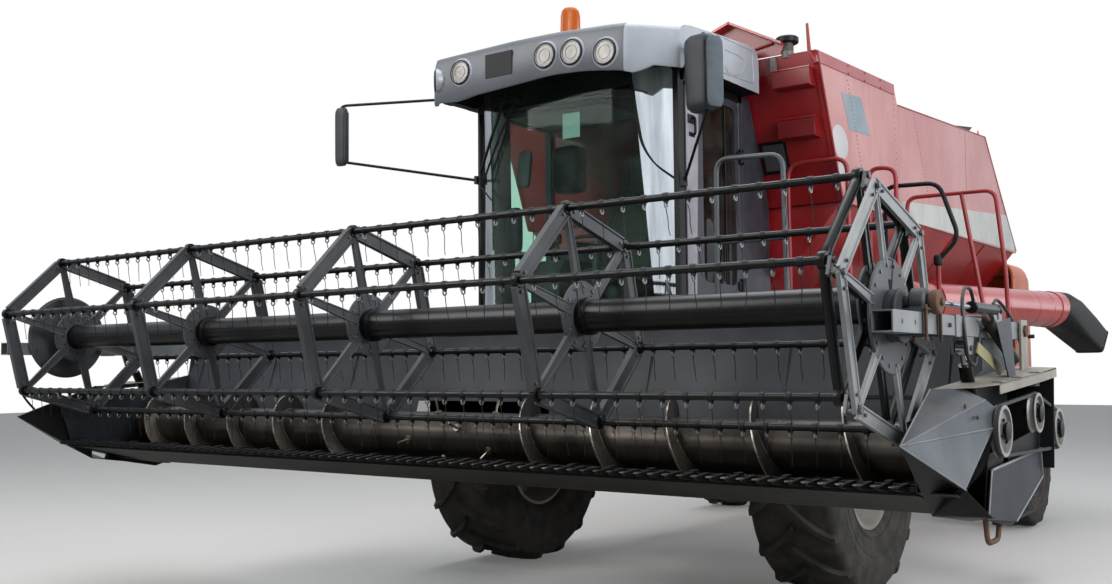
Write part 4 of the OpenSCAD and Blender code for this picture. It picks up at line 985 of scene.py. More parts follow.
def makeEnds():
    bag = Bag()
    half = header["half"]
    sheet = [(60, -770), (549, -900), (870, -960), (1120, -905), (1430, -770), (1490, -255),
        (1080, -20), (1040, -280), (420, -410), (-40, -480)]
    bag.both(prism(sheet, "x", half, half + 6))
    # folded nose: an upper face, an outer face with a crease and a lower face painted black as the
    # shade of its underside
    nose = {"tip": (3118, -318, -556), "inTop": (3060, 240, -352), "top": (3150, 400, -352),
        "outTop": (3250, 370, -398), "outEdge": (3262, 520, -446), "crease": (3262, 440, -520),
        "outLow": (3258, 350, -655), "notch": (3256, 210, -705), "low": (3250, 60, -748),
        "under": (3250, 440, -900), "inLow": (3060, 220, -880), "inUnder": (3060, 760, -960)}
    shells = ["tip inTop top", "tip top outTop", "tip outTop outEdge crease",
        "tip crease outLow notch low", "tip low under inLow", "under inUnder inLow",
        "tip inLow inTop", "inTop inLow inUnder under low notch outLow crease outEdge outTop top"]
    faces = [tuple(list(nose).index(name) for name in shell.split()) for shell in shells]
    bag.both((list(nose.values()), faces), [1] * 4 + [5] * 4)
    for name in ("outTop", "crease", "inTop", "low"):
        bag.both(tube([nose["tip"], nose[name]], 3.2, 6), 3)
    for spot in ((3212, 210, -420), (3150, -60, -500), (3190, 60, -560), (3236, 300, -470),
            (3170, -60, -640), (3225, 150, -690)):
        bag.both(lathe([(0, -5), (9, -4), (9, 4), (0, 6)], spot, "x", 10), 2)
    # deck over the gap between the sheets, with a turned down edge
    deck = [(3052, 300), (3200, 400), (3262, 560), (3290, 1250), (3290, 1500), (3052, 1620)]

    def deckAt(y):
        return -352 + (y - 300) * 0.07

    bag.both(loft([[(x, y, deckAt(y) - d) for x, y in deck] for d in (0, 6)]), 4)
    for pair in (deck[2:4], deck[3:5]):
        bag.both(loft([[(x - dx, y, deckAt(y) - d) for dx, d in ((0, 0), (0, 46), (5, 46), (5, 0))]
            for x, y in pair]), 4)
    for x, y in ((3240, 640), (3255, 900), (3268, 1180)):
        bag.both(box((x - 30, y - 22, deckAt(y)), (x + 18, y + 22, deckAt(y) + 4)), 4)
    # open drive bay: outer frame, bottom cover and the dark rear shield
    bag.both(prism(bandOutline([(60, -770), (549, -900), (870, -960), (1120, -905), (1430, -770)],
        7), "x", half, 3213), 5)
    bag.both(prism([(1422, -760), (1430, -760), (1492, -300), (1484, -300)], "x", half, 3280), 5)
    shield = [(440, -905), (520, -640), (1500, -560), (1500, -690), (1290, -880), (860, -985)]
    plate = [(430, -905), (505, -700), (1380, -662), (1400, -800), (880, -962)]
    for outline, start, end, mark in ((shield, 3205, 3213, 5), (plate, 3222, 3228, 0),
            ([(1340, -340), (1480, -262), (1480, -30), (1360, -30)], 3040, 3052, 4),
            ([(1340, -360), (1480, -290), (1480, -30), (1360, -30)], 3152, 3164, 4)):
        bag.both(prism(outline, "x", start, end), mark)
    for x, path, radius in ((3232, [(505, -702), (1380, -664)], 7), (3230, plate[:2], 5),
            (3230, [plate[4], plate[3], plate[2]], 5)):
        bag.both(tube([(x, y, z) for y, z in path], radius, 8), 3)
    bag.both(box((3152, 1400, -360), (3213, 1480, -300)), 4)
    bag.both(rod(20, 3044, 3172, (0, 1420, -85), steps=24), 2)
    bag.both(bolt((3164, 1420, -85), "x", 32, 12), 2)
    bag.both(rod(15, 3050, 3176, (0, 800, -640), steps=20), 2)
    bag.both(box((3150, 760, -690), (3213, 840, -590)), 5)
    stand = [(3180, 560, -905), (3180, 590, -1030), (3180, 760, -1030), (3180, 780, -945)]
    bag.add(tube(stand, 12, 12, 40), 2)
    # bent guide rod in front of the right nose
    guide = [(-3172, -332, -90), (-3172, -325, -157), (-3172, -302, -307), (-3172, -240, -431),
        (-3172, -118, -558), (-3160, 30, -634), (-3150, 120, -640)]
    bag.add(tube(rounded(guide, 60), 8, 10), 5)
    # yellowed plate, grey plate and damper of the left end, and the right end's drum
    bag.add(prism([(630, -152), (598, -199), (966, -302), (1030, -264)], "x", 3152, 3160), 7)
    bag.add(prism([(720, -64), (965, -34), (1020, -302), (900, -312)], "x", 3208, 3214))
    bag.add(tube([(3184, 690, -52), (3184, 1112, -226)], 29, 18), 5)
    bag.add(tube([(3184, 700, -56), (3184, 640, -30)], 12, 12), 2)
    bag.add(mirrored(lathe([(0, 3213), (118, 3213), (120, 3216), (120, 3296), (116, 3300),
        (0, 3300)], (0, 1149, -480), steps=40)), 5)
    makePiece("headerEnds", "header", bag, [deckGrey, noseGrey, rustySteel, paleArmPaintAndHighlight, deckPale,
        frameBlack, noseGrey, yellowTag], ["header_ends"], bevel=1.0)


def makeDrive():
    bag = Bag()
    pulleys = [(543, -537, 112), (1149, -480, 95), (1563, -572, 100)]
    for y, z, r in pulleys:
        bag.add(lathe([(r - 16, 3246), (r - 2, 3246), (r, 3249), (r - 9, 3258), (r - 9, 3272),
            (r, 3281), (r - 2, 3285), (r - 16, 3285)], (0, y, z), steps=48, closed=True), 0)
        bag.add(lathe([(24, 3252), (r - 14, 3262), (r - 14, 3270), (24, 3282)], (0, y, z), steps=48,
            closed=True), 1)
        bag.add(lathe([(0, 3213), (25, 3213), (25, 3286), (40, 3286), (42, 3296), (18, 3300),
            (0, 3300)], (0, y, z), steps=28), 2)
        for spot in spotsOf(4, 20, r * 0.45, (3276, y, z)):
            bag.add(bolt(spot, "x", 8, 10), 2)
    # the belt lies over the three pulleys: arcs joined by straight runs
    path = []
    arcs = ((1563, -572, 97, -100, 60), (1149, -480, 92, 65, 105), (543, -537, 109, 95, 262))
    for y, z, r, first, last in arcs:
        for a in np.radians(np.linspace(first, last, 14)):
            path.append((3265, y + r * cos(a), z + r * sin(a)))
    section = [(-5, -9), (5, -7), (5, 7), (-5, 9)]
    bag.add(sweep(path, lambda i: section, True), 3)
    makePiece("headerDrive", "header", bag, [rimPaint, armGrey, frameBlack, hoseRubber],
        ["header_drive"], bevel=0.8)


makeAuger()
makeKnife()
makePan()
makeEnds()
makeDrive()
print("header ready")

cab = {"half": 880, "front": 2020, "back": 2930, "roof": 1740}


def makeCabFrame():
    half, front, back, top = cab["half"], cab["front"], cab["back"], cab["roof"]
    side = 980
    bag = Bag()
    bag.add(box((-half, front - 20, 0), (half, back, 50)))
    bag.add(prism([(front - 40, 4), (front - 40, 190), (front - 28, 206), (front, 208), (front, 4)],
        "x", -half, half))
    # the left front post has a rounded section, the right one is thin
    post = [(half - 50, front - 16), (half - 40, front - 22), (half - 8, front - 22),
        (half, front - 12), (half, front + 44), (half - 8, front + 50), (half - 50, front + 50)]
    bag.add(prism(post, "z", 50, roof["hollow"]))
    bag.add(box((-half, front - 4, 50), (-half + 18, front + 30, roof["hollow"])))
    rear = [(half - 60, back - 60), (half - 6, back - 60), (half, back - 54), (half, back - 6),
        (half - 6, back), (half - 60, back)]
    bag.both(prism(rear, "z", 50, top), 1)
    bag.both(box((half - 50, front, top - 60), (half, back, top)))
    bag.add(box((-half + 50, front + 27, top - 24), (half - 50, front + 44, top)))
    bag.add(box((-half + 50, back - 40, top - 60), (half - 50, back, top)))
    for z in (300, 1250):
        bag.add(tube([(half + 14, back - 60, z - 25), (half + 14, back - 60, z + 85)], 8, 12))
        for dz in (-25, 65):
            bag.add(box((half, back - 60, z + dz), (half + 14, back, z + dz + 20)))
            bag.add(tube([(half + 14, back - 60, z + dz), (half + 14, back - 60, z + dz + 20)], 10,
                16))
    # rear wall: solid behind the driver's left, open glass behind the right; its dark panels are
    # partly painted shade of the cab's inside
    bag.add(box((-half + 60, back - 30, 50), (half - 60, back, 700)), 1)
    bag.add(box((60, back - 34, 700), (half - 60, back - 26, top - 60)), 2)
    bag.add(box((-half, front + 50, 50), (-half + 25, back - 60, 260)))
    bag.add(prism([(2120, 250), (2400, 250), (2380, top - 50), (2110, top - 50)], "x", -half + 2,
        -half + 28), 2)
    bag.add(box((-half + 28, 2290, 1385), (-half + 31, 2370, 1470)), 3)
    # side panel that closes the gap between the cab and the tank
    bag.add(prism([(2934, 60), (2934, top - 4), (3062, top - 4), (3370, side), (3370, 60)], "x",
        half - 60, half - 4), 1)
    bag.add(box((-half + 60, front + 60, top - 50), (60, back - 44, top - 40)), 4)
    bag.add(box((60, front + 60, top - 50), (half - 60, back - 44, top - 40)), 2)
    # rolled sun blind under the roof lining
    bag.add(tube([(-700, front + 70, top - 90), (760, front + 70, top - 90)], 26, 16), 2)
    makePiece("cabFrame", "carrier", bag, [frameBlack, slatePlastic, blackPlastic, yellowTag,
        roofLining], ["cab_frame"], bevel=3)


roof = {"lip": [(-1010, 1700), (-862, 1693), (-750, 1684), (-578, 1706), (-186, 1726), (100, 1745),
    (375, 1731), (638, 1694), (752, 1664), (809, 1682), (866, 1709), (1010, 1690)],
    "brow": [(-1010, 2046), (-262, 2062), (100, 2058), (578, 2030), (920, 1996), (1010, 1990)],
    "lamps": [(-690, 1890), (68, 1884), (291, 1870), (558, 1826)], "lampRadius": 88, "hollow": 1846}


def roofFront(x):
    # the front edge runs straight and sweeps back over both corners, more over the left
    if x > 700:
        return 1600 + ((x - 700) / 310) ** 1.25 * 190
    if x < -940:
        return 1600 + (-940 - x)
    return 1600.0


def makeRoof():
    bag = Bag()
    stations = np.concatenate([[-1010, -975, -940], np.linspace(-862, 638, 16),
        [700, 752, 780, 809, 838, 866, 910, 960, 1010]])
    lips = np.interp(stations, *zip(*roof["lip"]))
    brows = np.interp(stations, *zip(*roof["brow"]))
    outer, under = [], []
    for x, lip, brow in zip(stations, lips, brows):
        y = roofFront(x)
        edge = max(0, (abs(x) - 930) / 80)
        crown = [(2000 + 0.12 * max(0, y - 1600), brow + 20 + 14 * (1 - edge)),
            (2400, 2080 - 40 * edge), (2880, 2072)]
        outer.append([(x, y + 46, lip + 10), (x, y + 8, lip), (x, y - 2, lip + 16),
            (x, y, 0.45 * lip + 0.55 * brow), (x, y + 8, brow - 60), (x, y + 26, brow - 22),
            (x, y + 64, brow - 3), (x, y + 150, brow + 12)] + [(x, a, b) for a, b in crown]
            + [(x, 2935, 2040), (x, 2958, 1990), (x, 2958, 1768)])
        # the overhang is hollow in front of the cab, and closed at both ends
        high = roof["hollow"] + 4 if abs(x) < 930 else 1742
        under.append([(x, y + 52, lip + 18), (x, y + 70, high), (x, 2048, high), (x, 2052, 1739),
            (x, 2955, 1741)])
    outer, under = np.array(outer, float), np.array(under, float)
    # one closed ring of places at each station; the front panel is the roof's painted shade, and
    # the hollow under the overhang is black as painted shade
    ring = np.concatenate([outer, under[:, ::-1]], axis=1)
    marks = [2 if 12 < j < 17 else int(j < 7 and i < 19) for i in range(len(ring) - 1)
        for j in range(ring.shape[1])]
    bag.add(loft(ring), marks + [0, 0])
    # pressed shield and the seam of the rear panel on the left side
    for path in ([(2420, 1950), (2600, 1958), (2740, 1940), (2700, 1850), (2600, 1800),
            (2470, 1790), (2430, 1830), (2420, 1950)],
            [(2300, 2030), (2860, 2040), (2870, 1800), (2300, 1780)]):
        line = rounded([(1010, y, z) for y, z in path], 40)
        bag.add(tube(line, 4, 6))
    bag.add(prism([(2426, 1944), (2596, 1950), (2730, 1934), (2694, 1852), (2596, 1806),
        (2474, 1796), (2436, 1834)], "x", 1007, 1012))
    # ribs along the top, in the roof's painted shade
    for x in (-400, 300):
        bag.add(box((x - 2, 2050, 2066), (x + 2, 2860, 2080)), 1)
    # blank plate on the face
    bag.add(box((-458, 1593, 1808), (-220, 1602, 1976)), 2)
    for x, z in roof["lamps"]:
        bag.add(lathe([(roof["lampRadius"] - 2, 0), (roof["lampRadius"] + 4, -9),
            (roof["lampRadius"] + 16, -2), (roof["lampRadius"] + 18, 8)], (x, 1600, z), "y", 44,
            True))
    makePiece("cabRoof", "carrier", bag, [roofSilver, roofPaintedShade, blackPlastic],
        ["cab_roof"], angle=40)


def lampAt(bag, spot, turn, radius):
    parts = [(lathe([(radius - 11, -8), (radius - 6, -16), (radius, -12), (radius, 10),
        (radius - 11, 10)], (0, 0, 0), "y", 44, True), 0),
        (lathe([(0, -6), (radius * 0.45, -7), (radius * 0.8, -5), (radius - 10, 2),
        (radius - 10, 9), (0, 9)], (0, 0, 0), "y", 44, True), 1)]
    rows = [(radius - 9, radius - 15), (radius * 0.55, radius * 0.50)]
    for big, small in rows:
        parts.append((lathe([(big, -6), (big - 2, -10), (small, -10), (small, -6)], (0, 0, 0), "y",
            44, True), 1))
    for shape, mark in parts:
        bag.add(moved(turned(shape, "Z", turn), spot), mark)


def makeLamps():
    bag = Bag()
    for x, z in roof["lamps"]:
        lampAt(bag, (x, 1593, z), 0, roof["lampRadius"])
    # corner lamp in its own housing, turned outward
    housing = lathe([(0, 70), (60, 70), (94, 20), (98, -16), (90, -20), (0, -20)], (0, 0, 0), "y",
        36)
    bag.add(moved(turned(housing, "Z", -52), (-935, 1640, 1868)), 4)
    lampAt(bag, (-950, 1628, 1868), -52, 86)
    x, y = -140, 2200
    bag.add(lathe([(0, 2076), (84, 2076), (84, 2118), (74, 2132), (0, 2132)], (x, y, 0), "z", 40))
    # ribbed lens
    ripple = circleOf(80) * np.tile((0.955, 1.0), 40)[:, None]
    rows = [np.insert(ripple * radius + (x, y), 2, height, axis=1) for height,
        radius in ((2132, 74), (2150, 76), (2350, 72), (2385, 64), (2405, 48), (2414, 0))]
    bag.add(grid(rows, False, True), 3)
    bag.add(tube([(x, y, 2132), (x, y, 2330)], 26, 16))
    makePiece("roofLamps", "carrier", bag, [darkPlastic, lampLens, blackPlastic, amber, roofSilver],
        ["roof_lamps"])


screen = {"bow": 150, "power": 3.0, "foot": 206}


def screenPlan(s):
    # place across the windscreen, -1 to 1, to its bowed plan
    wide = cab["half"] - (52 if s > 0 else 18)
    return (wide * s, cab["front"] + 24 - screen["bow"] * (1 - abs(s) ** screen["power"]))


def makeGlass():
    half, front, back, top = cab["half"], cab["front"], cab["back"], cab["roof"]
    bag = Bag()
    foot, head = screen["foot"], roof["hollow"] - 6
    levels = np.linspace(foot, head, 13)

    def pane(sides, inset):
        # both skins of a part of the windscreen; its edge runs slanted between the two limits
        rows = []
        for z in levels:
            t = (z - foot) / (head - foot)
            lean = 22 * (t - 0.5) ** 2
            low, high = (a + (b - a) * t for a, b in sides)
            line = [screenPlan(s) for s in np.linspace(low, high, 25)]
            rows.append([(x, y - lean, z) for x, y in line]
                + [(x, y - lean + inset, z) for x, y in line[::-1]])
        return loft(rows)

    # the turned back parts at both sides carry the painted sky reflection
    bag.add(pane(((-0.78, -0.84), (0.83, 0.66)), 6))
    bag.add(pane(((-1, -1), (-0.78, -0.84)), 6), 3)
    bag.add(pane(((0.83, 0.66), (1, 1)), 6), 2)
    bag.add(box((-half + 8, front + 50, 260), (-half + 12, 2118, top - 60)), 1)
    bag.add(box((-half + 8, 2398, 260), (-half + 12, back - 60, top - 60)), 1)
    bag.add(box((-half + 60, back - 18, 700), (60, back - 12, top - 60)))
    makePiece("cabGlass", "carrier", bag, [cabPane, cabPane, glarePane, skyPane],
        ["cab_glass"])
    seal = Bag()
    plan = [screenPlan(s) for s in np.linspace(-1, 1, 41)]
    for z in (foot, head):
        seal.add(tube([(x, y - 4, z) for x, y in plan], 9, 8))
    for s in (0, -1):
        x, y = plan[s]
        seal.add(tube([(x, y + 2, foot), (x, y + 2, head)], 12, 8))
    # two wiper arms with a blade at the right, a curved arm at the left
    for shift in (0, 105):
        top0 = (-500 + shift, front - 142, 1738 - 0.3 * shift)
        mid = (-640 + shift * 0.7, front - 128, 1470)
        low = (-806 + shift * 0.12, front - 60, 1225 - shift)
        seal.add(tube([top0, mid, low], 8 if shift else 11, 8, 60))
    seal.add(tube([(-818, front - 52, 1480), (-806, front - 64, 1160), (-790, front - 70, 640)], 9,
        6))
    seal.add(tube([(-800, front - 66, 1110), (-676, front - 96, 996)], 6, 8))
    curve = [(560, front - 92, top - 64), (580, front - 96, 1500), (620, front - 88, 1260),
        (700, front - 60, 1120), (846, front + 14, 1000)]
    seal.add(tube(curve, 6.5, 8, 120))
    seal.add(box((-560, front - 150, top - 40), (-380, front - 110, top - 8)))
    makePiece("cabSeals", "carrier", seal, [blackPlastic])


def makeDoor():
    half, front, back, top = cab["half"], cab["front"], cab["back"], cab["roof"]
    bag = Bag()
    y0, y1, z0, z1 = front + 56, back - 66, 56, top - 66
    a0, a1, b0, b1 = front + 300, back - 122, 332, top - 122

    def loopOf(ya, yb, za, zb, radius):
        middle = ((ya + yb) / 2, za, 0)
        corners = [(yb, za, 0), (yb, zb, 0), (ya, zb, 0), (ya, za, 0)]
        return rounded([middle] + corners + [middle], radius, 6)[:-1]

    outside, inside = loopOf(y0, y1, z0, z1, 46), loopOf(a0, a1, b0, b1, 60)
    rings = []
    for loop, x in ((outside, half - 24), (outside, half + 2), (inside, half + 2),
            (inside, half - 24)):
        rings.append([(x, p[0], p[1]) for p in loop])
    bag.add(grid(rings, True, True))
    # pale front stile, which narrows downward, with a recessed handle
    stile = [(y0 + 8, z0 + 20), (y0 + 120, z0 + 20), (y0 + 190, z1 - 30), (y0 + 8, z1 - 30)]
    bag.add(prism(stile, "x", half + 1, half + 5), 1)
    handle = [(half + 4, y0 + 92, 1320), (half + 30, y0 + 92, 1330), (half + 30, y0 + 92, 1435),
        (half + 4, y0 + 92, 1445)]
    bag.add(tube(handle, 10, 10, 22), 2)
    bag.add(box((half + 3, y0 + 46, 1310), (half + 9, y0 + 124, 1340)), 2)
    bag.add(box((half + 3, y0 + 30, 1400), (half + 11, y0 + 124, 1461)), 2)
    bag.add(tube([(half + 1, a0 + 330, b0 + 20), (half + 1, a0 + 330, b1 - 20)], 7, 8), 2)
    for z in (300, 1250):
        bag.add(tube([(half + 14, back - 60, z), (half + 14, back - 60, z + 60)], 13.5, 16), 2)
        bag.add(box((half + 1, back - 110, z), (half + 14, back - 60, z + 60)), 2)
    makePiece("cabDoor", "cab_door", bag, [slatePlastic, doorGrey, blackPlastic],
        ["cab_door"], bevel=1.5)
    pane = Bag().add(loft([[(x, y, z) for y, z, _ in inside] for x in (half - 10, half - 15)]))
    makePiece("doorGlass", "cab_door", pane, [sidePane], ["door_glass"])


def makeInterior():
    bag = Bag()

    def cushion(low, high, lean=0.0, pivot=None):
        # rounded block: each corner is drawn in by a superellipse
        low, high = np.array(low, float), np.array(high, float)
        middle, flat = (low + high) / 2, squared(circleOf(24), 0.35)
        rows = []
        for v in np.linspace(-pi / 2, pi / 2, 13):
            ring = np.insert(flat * squared(cos(v), 0.35), 2, squared(sin(v), 0.35), axis=1)
            rows.append(middle + ring * (high - low) / 2)
        return turned(grid(rows, False, True), "X", lean, pivot or middle)

    # the inside is given dark tones, partly the parts' own colour and partly painted shade of the
    # closed cab
    bag.add(cushion((-260, 2420, 380), (260, 2840, 500)))
    bag.add(cushion((-250, 2770, 470), (250, 2870, 1130), -6, (0, 2800, 480)))
    bag.add(cushion((-150, 2800, 1120), (150, 2870, 1300), -6, (0, 2800, 480)))
    for side in (-1, 1):
        bag.add(cushion((side * 300 - 40, 2460, 640), (side * 300 + 40, 2800, 710)))
    bag.add(tube([(0, 2620, 50), (0, 2620, 380)], 110, 24), 1)
    bag.add(tube([(0, 2250, 60), (0, 2332, 652)], 34, 16), 1)
    bag.add(box((-70, 2180, 50), (70, 2320, 90)), 1)
    wheel = turned(torus((0, 2336, 654), "z", 198, 13, 48, 10), "X", -12, (0, 2336, 654))
    bag.add(wheel, 1)
    for angle in (90, 210, 330):
        a = radians(angle)
        spoke = tube([(0, 2336, 652), (190 * cos(a), 2336 + 190 * sin(a), 654)], 11, 8)
        bag.add(turned(spoke, "X", -12, (0, 2336, 654)), 1)
    bag.add(tube([(0, 2333, 640), (0, 2339, 668)], 52, 20), 1)
    bag.add(prism([(2250, 50), (2250, 470), (2330, 560), (2850, 560), (2850, 50)], "x", -560, -300),
        1)
    bag.add(tube([(-420, 2420, 560), (-420, 2400, 700)], 13, 10), 1)
    bag.add(cushion((-450, 2370, 690), (-390, 2430, 770)), 1)
    # monitor on its stalk, hung cloth, pale card behind the glass
    bag.add(tube([(-640, 2140, 60), (-640, 2140, 640)], 14, 10), 1)
    bag.add(cushion((-700, 2120, 620), (-580, 2190, 960)), 1)
    bag.add(box((60, 2872, 60), (818, 2892, 1670)), 2)
    bag.add(cushion((-612, 2150, 1100), (-492, 2190, 1390), -8), 1)
    bag.add(cushion((-470, 2380, 1080), (-230, 2560, 1440)), 2)
    bag.add(cushion((120, 2560, 1010), (420, 2860, 1380)), 2)
    bag.add(box((-14, 1912, 1368), (134, 1914, 1546)), 3)
    makePiece("cabInterior", "carrier", bag, [seatCloth, darkPlastic, blackPlastic, paperWhite],
        ["cab_interior"])


def makeMirrors():
    bag = Bag()

    def head(width, depth, height):
        rows = []
        flat = squared(circleOf(28), (0.55, 0.7)) * (width / 2, depth / 2)
        for share in np.linspace(0, 1, 21):
            end = 1 - abs(2 * share - 1) ** 14 * 0.3
            rows.append(np.insert(flat * (end * (0.9 + 0.1 * share), end), 2, height * share,
                axis=1))
        return loft(rows)

    left = turned(head(226, 150, 490), "Z", -8)
    bag.add(moved(left, (1164, 1800, 1380)))
    bag.add(moved(turned(head(74, 128, 452), "Z", -24), (1256, 1788, 1396)), 3)
    glass = turned(box((-76, 68, 36), (76, 74, 440)), "Z", -8)
    bag.add(moved(glass, (1170, 1800, 1375)), 2)
    # seam between the housing and its pale outer half
    seam = [(1228, 1722, z) for z in (1410, 1500, 1700, 1820)]
    bag.add(tube(seam, 5, 6), 1)
    right = head(118, 60, 450)
    bag.add(moved(right, (-1850, 1530, 1330)))
    bag.add(moved(box((-48, 26, 34), (48, 32, 416)), (-1850, 1530, 1330)), 2)
    bag.add(tube([(1235, 1735, 1400), (1232, 1726, 1700), (1190, 1790, 1885), (1165, 1810, 1885),
        (1023, 2050, 1810)], 10, 10, 40), 1)
    bag.add(tube([(1230, 1760, 1400), (cab["half"] + 17, 2028, 985)], 10, 10), 1)
    bag.add(box((1010, 2005, 1775), (1034, 2095, 1845)), 1)
    bag.add(box((cab["half"], 2000, 955), (cab["half"] + 26, 2056, 1015)), 1)
    bag.add(tube([(-1850, 1530, 1420), (-1850, 1530, 1790), (-1820, 1545, 1800),
        (-1023, 1840, 1790)], 11, 10, 40), 1)
    bag.add(tube([(-1850, 1530, 1360), (-cab["half"] - 17, 2028, 1180)], 11, 10), 1)
    bag.add(box((-1034, 1795, 1745), (-1010, 1885, 1815)), 1)
    bag.add(box((-cab["half"] - 26, 2000, 1150), (-cab["half"], 2056, 1210)), 1)
    makePiece("mirrors", "carrier", bag, [darkPlastic, blackPlastic, reflector, roofLining],
        ["mirrors"], angle=45)


makeCabFrame()
makeRoof()
makeLamps()
makeGlass()
makeDoor()
makeInterior()
makeMirrors()
print("cab ready")

body = {"half": 1450, "side": 960, "top": 2000, "tankEnd": 4650, "plate": 25}


def wallAt(z):
    # depth of the tank's sloping front wall at a height
    return 3395 - 420 * (z - body["side"]) / (body["top"] - body["side"])


def rivetLine(bag, start, end, count, x, mark, radius=5.5):
    start, end = np.array(start, float), np.array(end, float)
    for t in np.linspace(0, 1, count):
        y, z = start + (end - start) * t
        bag.both(lathe([(0, 0), (radius, 0), (radius * 0.8, 2.5), (0, 3.2)], (x, y, z), "x", 8),
            mark)


def makeTank():
    half, side, top, end, plate = (body[k] for k in ("half", "side", "top", "tankEnd", "plate"))
    bag = Bag()
    outline = [(wallAt(side) + 6, side), (2981, top), (end - 80, top + 65), (end, top - 95),
        (end, side)]
    bag.both(prism(outline, "x", half - plate, half))
    front = [(wallAt(side), side), (wallAt(top), top), (wallAt(top) + 16, top),
        (wallAt(side) + 26, side)]
    bag.add(prism(front, "x", -half + 1, half - 1), 1)
    brow = [(wallAt(z) + d, z) for z, d in ((1885, -3), (top, -3), (top, 2), (1885, 2))]
    bag.add(prism(brow, "x", -half + 40, half - 36), 2)
    bag.add(box((1100, 2960, 1885), (1140, 2992, 1992)), 9)
    bag.add(box((-half + plate, end - plate, side), (half - plate, end, top - 95)), 1)
    bag.add(box((-half + plate, wallAt(side) + 10, side), (half - plate, end - 10, side + plate)),
        1)
    # folded corner strip that ends the front wall at each side
    corner = [(half - 34, 0), (half + 2, 0), (half + 2, 30), (half - 2, 30), (half - 2, 4),
        (half - 34, 4)]
    bag.both(loft([[(x, wallAt(z) - 5 + d, z) for x, d in corner] for z in (side, top)]), 1)
    # extension band along the upper edge, with its clips
    band = bandOutline([(2981, top - 1), (end - 81, top + 64)], -85)
    bag.both(prism(band, "x", half - 8, half + 7), 2)
    for y in (3560, 3900, 4240):
        z = top + 65 * (y - 2981) / 1589
        for dz in (-18, -78):
            bag.both(lathe([(0, 0), (9, 0), (8, 4), (0, 5)], (half + 7, y, z + dz), "x", 10), 5)
    rivetLine(bag, (3560, 1895), (3905, 1010), 30, half, 5)
    rivetLine(bag, (4560, 1950), (4640, 1000), 20, half, 5, 4.5)
    # blank patches on the left side
    patch = [(3425, 1778), (3828, 1815), (4005, 1544), (3577, 1521)]
    bag.add(prism(patch, "x", half, half + 1.2), 3)
    round1 = [(3388 + 150 * cos(a), 1400 + 122 * sin(a) - 14 * cos(a)) for a in turnsOf(40)]
    bag.add(prism(round1, "x", half, half + 1.2), 4)
    round2 = [(3398 + 68 * cos(a), 1200 + 46 * sin(a)) for a in turnsOf(24)]
    bag.add(prism(round2, "x", half, half + 1.2), 4)
    # flaps above the front wall
    bag.add(strip([(2990, top), (2760, top + 150)], -6, "x", -700, 640), 1)
    for x in (-640, -200, 240, 600):
        bag.add(prism([(2986, top + 2), (2770, top + 142), (2800, top + 96), (2980, top - 30)], "x",
            x, x + 6), 1)
    flap = [(600, top + 5), (660, top + 255), (800, top + 305), (1220, top + 80), (1180, top + 5)]
    # the standing flap is in the shaded dark red, a painted shade
    bag.add(prism(flap, "y", 2960, 2968), 8)
    bag.add(prism([(660, top + 255), (800, top + 305), (806, top + 288), (664, top + 238)], "y",
        2895, 2968), 1)
    bag.add(prism([(800, top + 305), (1220, top + 80), (1212, top + 66), (796, top + 288)], "y",
        2895, 2968), 1)
    bag.add(tube([(690, 2950, top + 30), (1130, 2950, top + 96)], 9, 8), 1)
    # intake cap with louvres
    cap = [(0, top + 142), (70, top + 139), (82, top + 130), (82, top + 96), (76, top + 90),
        (0, top + 90)]
    bag.add(lathe(cap, (1215, 3012, 0), "z", 32), 6)
    neck = [(42, top + 90)]
    for k in range(4):
        neck += [(42, top + 76 - 14 * k), (47, top + 70 - 14 * k)]
    neck += [(42, top - 20), (0, top - 20), (0, top + 90)]
    bag.add(lathe(neck[::-1], (1215, 3012, 0), "z", 28), 9)
    # corner pole and the tubes along the front wall's edges
    bag.add(tube([(1380, 2990, top + 205), (1392, 2990, top + 10), (1440, 3000, top - 90)],
        (10, 14, 18), 12), 7)
    rim = [(half + 3, wallAt(z) + 4, z) for z in np.linspace(side + 4, top - 4, 6)]
    bag.add(tube(rim, 11, 10), 7)
    # box steps in the front wall, painted in the dark shaded red as the shade in their recesses
    for z, high, x0 in ((1412, 142, 1092), (1755, 130, 1118)):
        y = wallAt(z)
        step = [(y + 8, z), (y - 112, z), (y - 120, z + 8), (y - 124, z + high - 8),
            (y - 112, z + high), (wallAt(z + high) + 8, z + high)]
        bag.add(prism(step, "x", x0, x0 + 285), 8)
        bag.add(box((x0 - 6, y - 128, z + high - 4), (x0 + 291, y - 104, z + high + 6)), 1)
    # inspection window with a black frame; its opaque dark grey pane is painted shade of the tank's
    # inside
    for x0, x1, z0, z1, out, mark in ((885, 1098, 1198, 1425, 10, 6),
            (908, 1076, 1220, 1404, 13, 10)):
        bag.add(prism([(wallAt(z0) - out, z0), (wallAt(z1) - out, z1), (wallAt(z1) + 4, z1),
            (wallAt(z0) + 4, z0)], "x", x0, x1), mark)
    for x in (-1000, -500, 0, 500, 1000):
        bag.add(prism([(wallAt(side) + 26, side + 20), (wallAt(top) + 16, top - 20),
            (wallAt(top) + 56, top - 20), (wallAt(side) + 66, side + 20)], "x", x - 4, x + 4), 1)
    # loading cross auger on the tank floor
    bag.add(rod(60, -1400, 1400, (0, 4300, 1080), steps=24), 6)
    blade = helix(-1380, 1380, 55, 130, 260, 6, 1, 0.2, 28)
    bag.add(moved(blade, (0, 4300, 1125)), 6)
    makePiece("grainTank", "carrier", bag, [fadedRed, brightRed, bandRed, patchBlue, patchWhite,
        rustySteel, frameBlack, railRed, paintedShadeRed, paleGrey, engineGrey], ["grain_tank"],
        bevel=2.5)


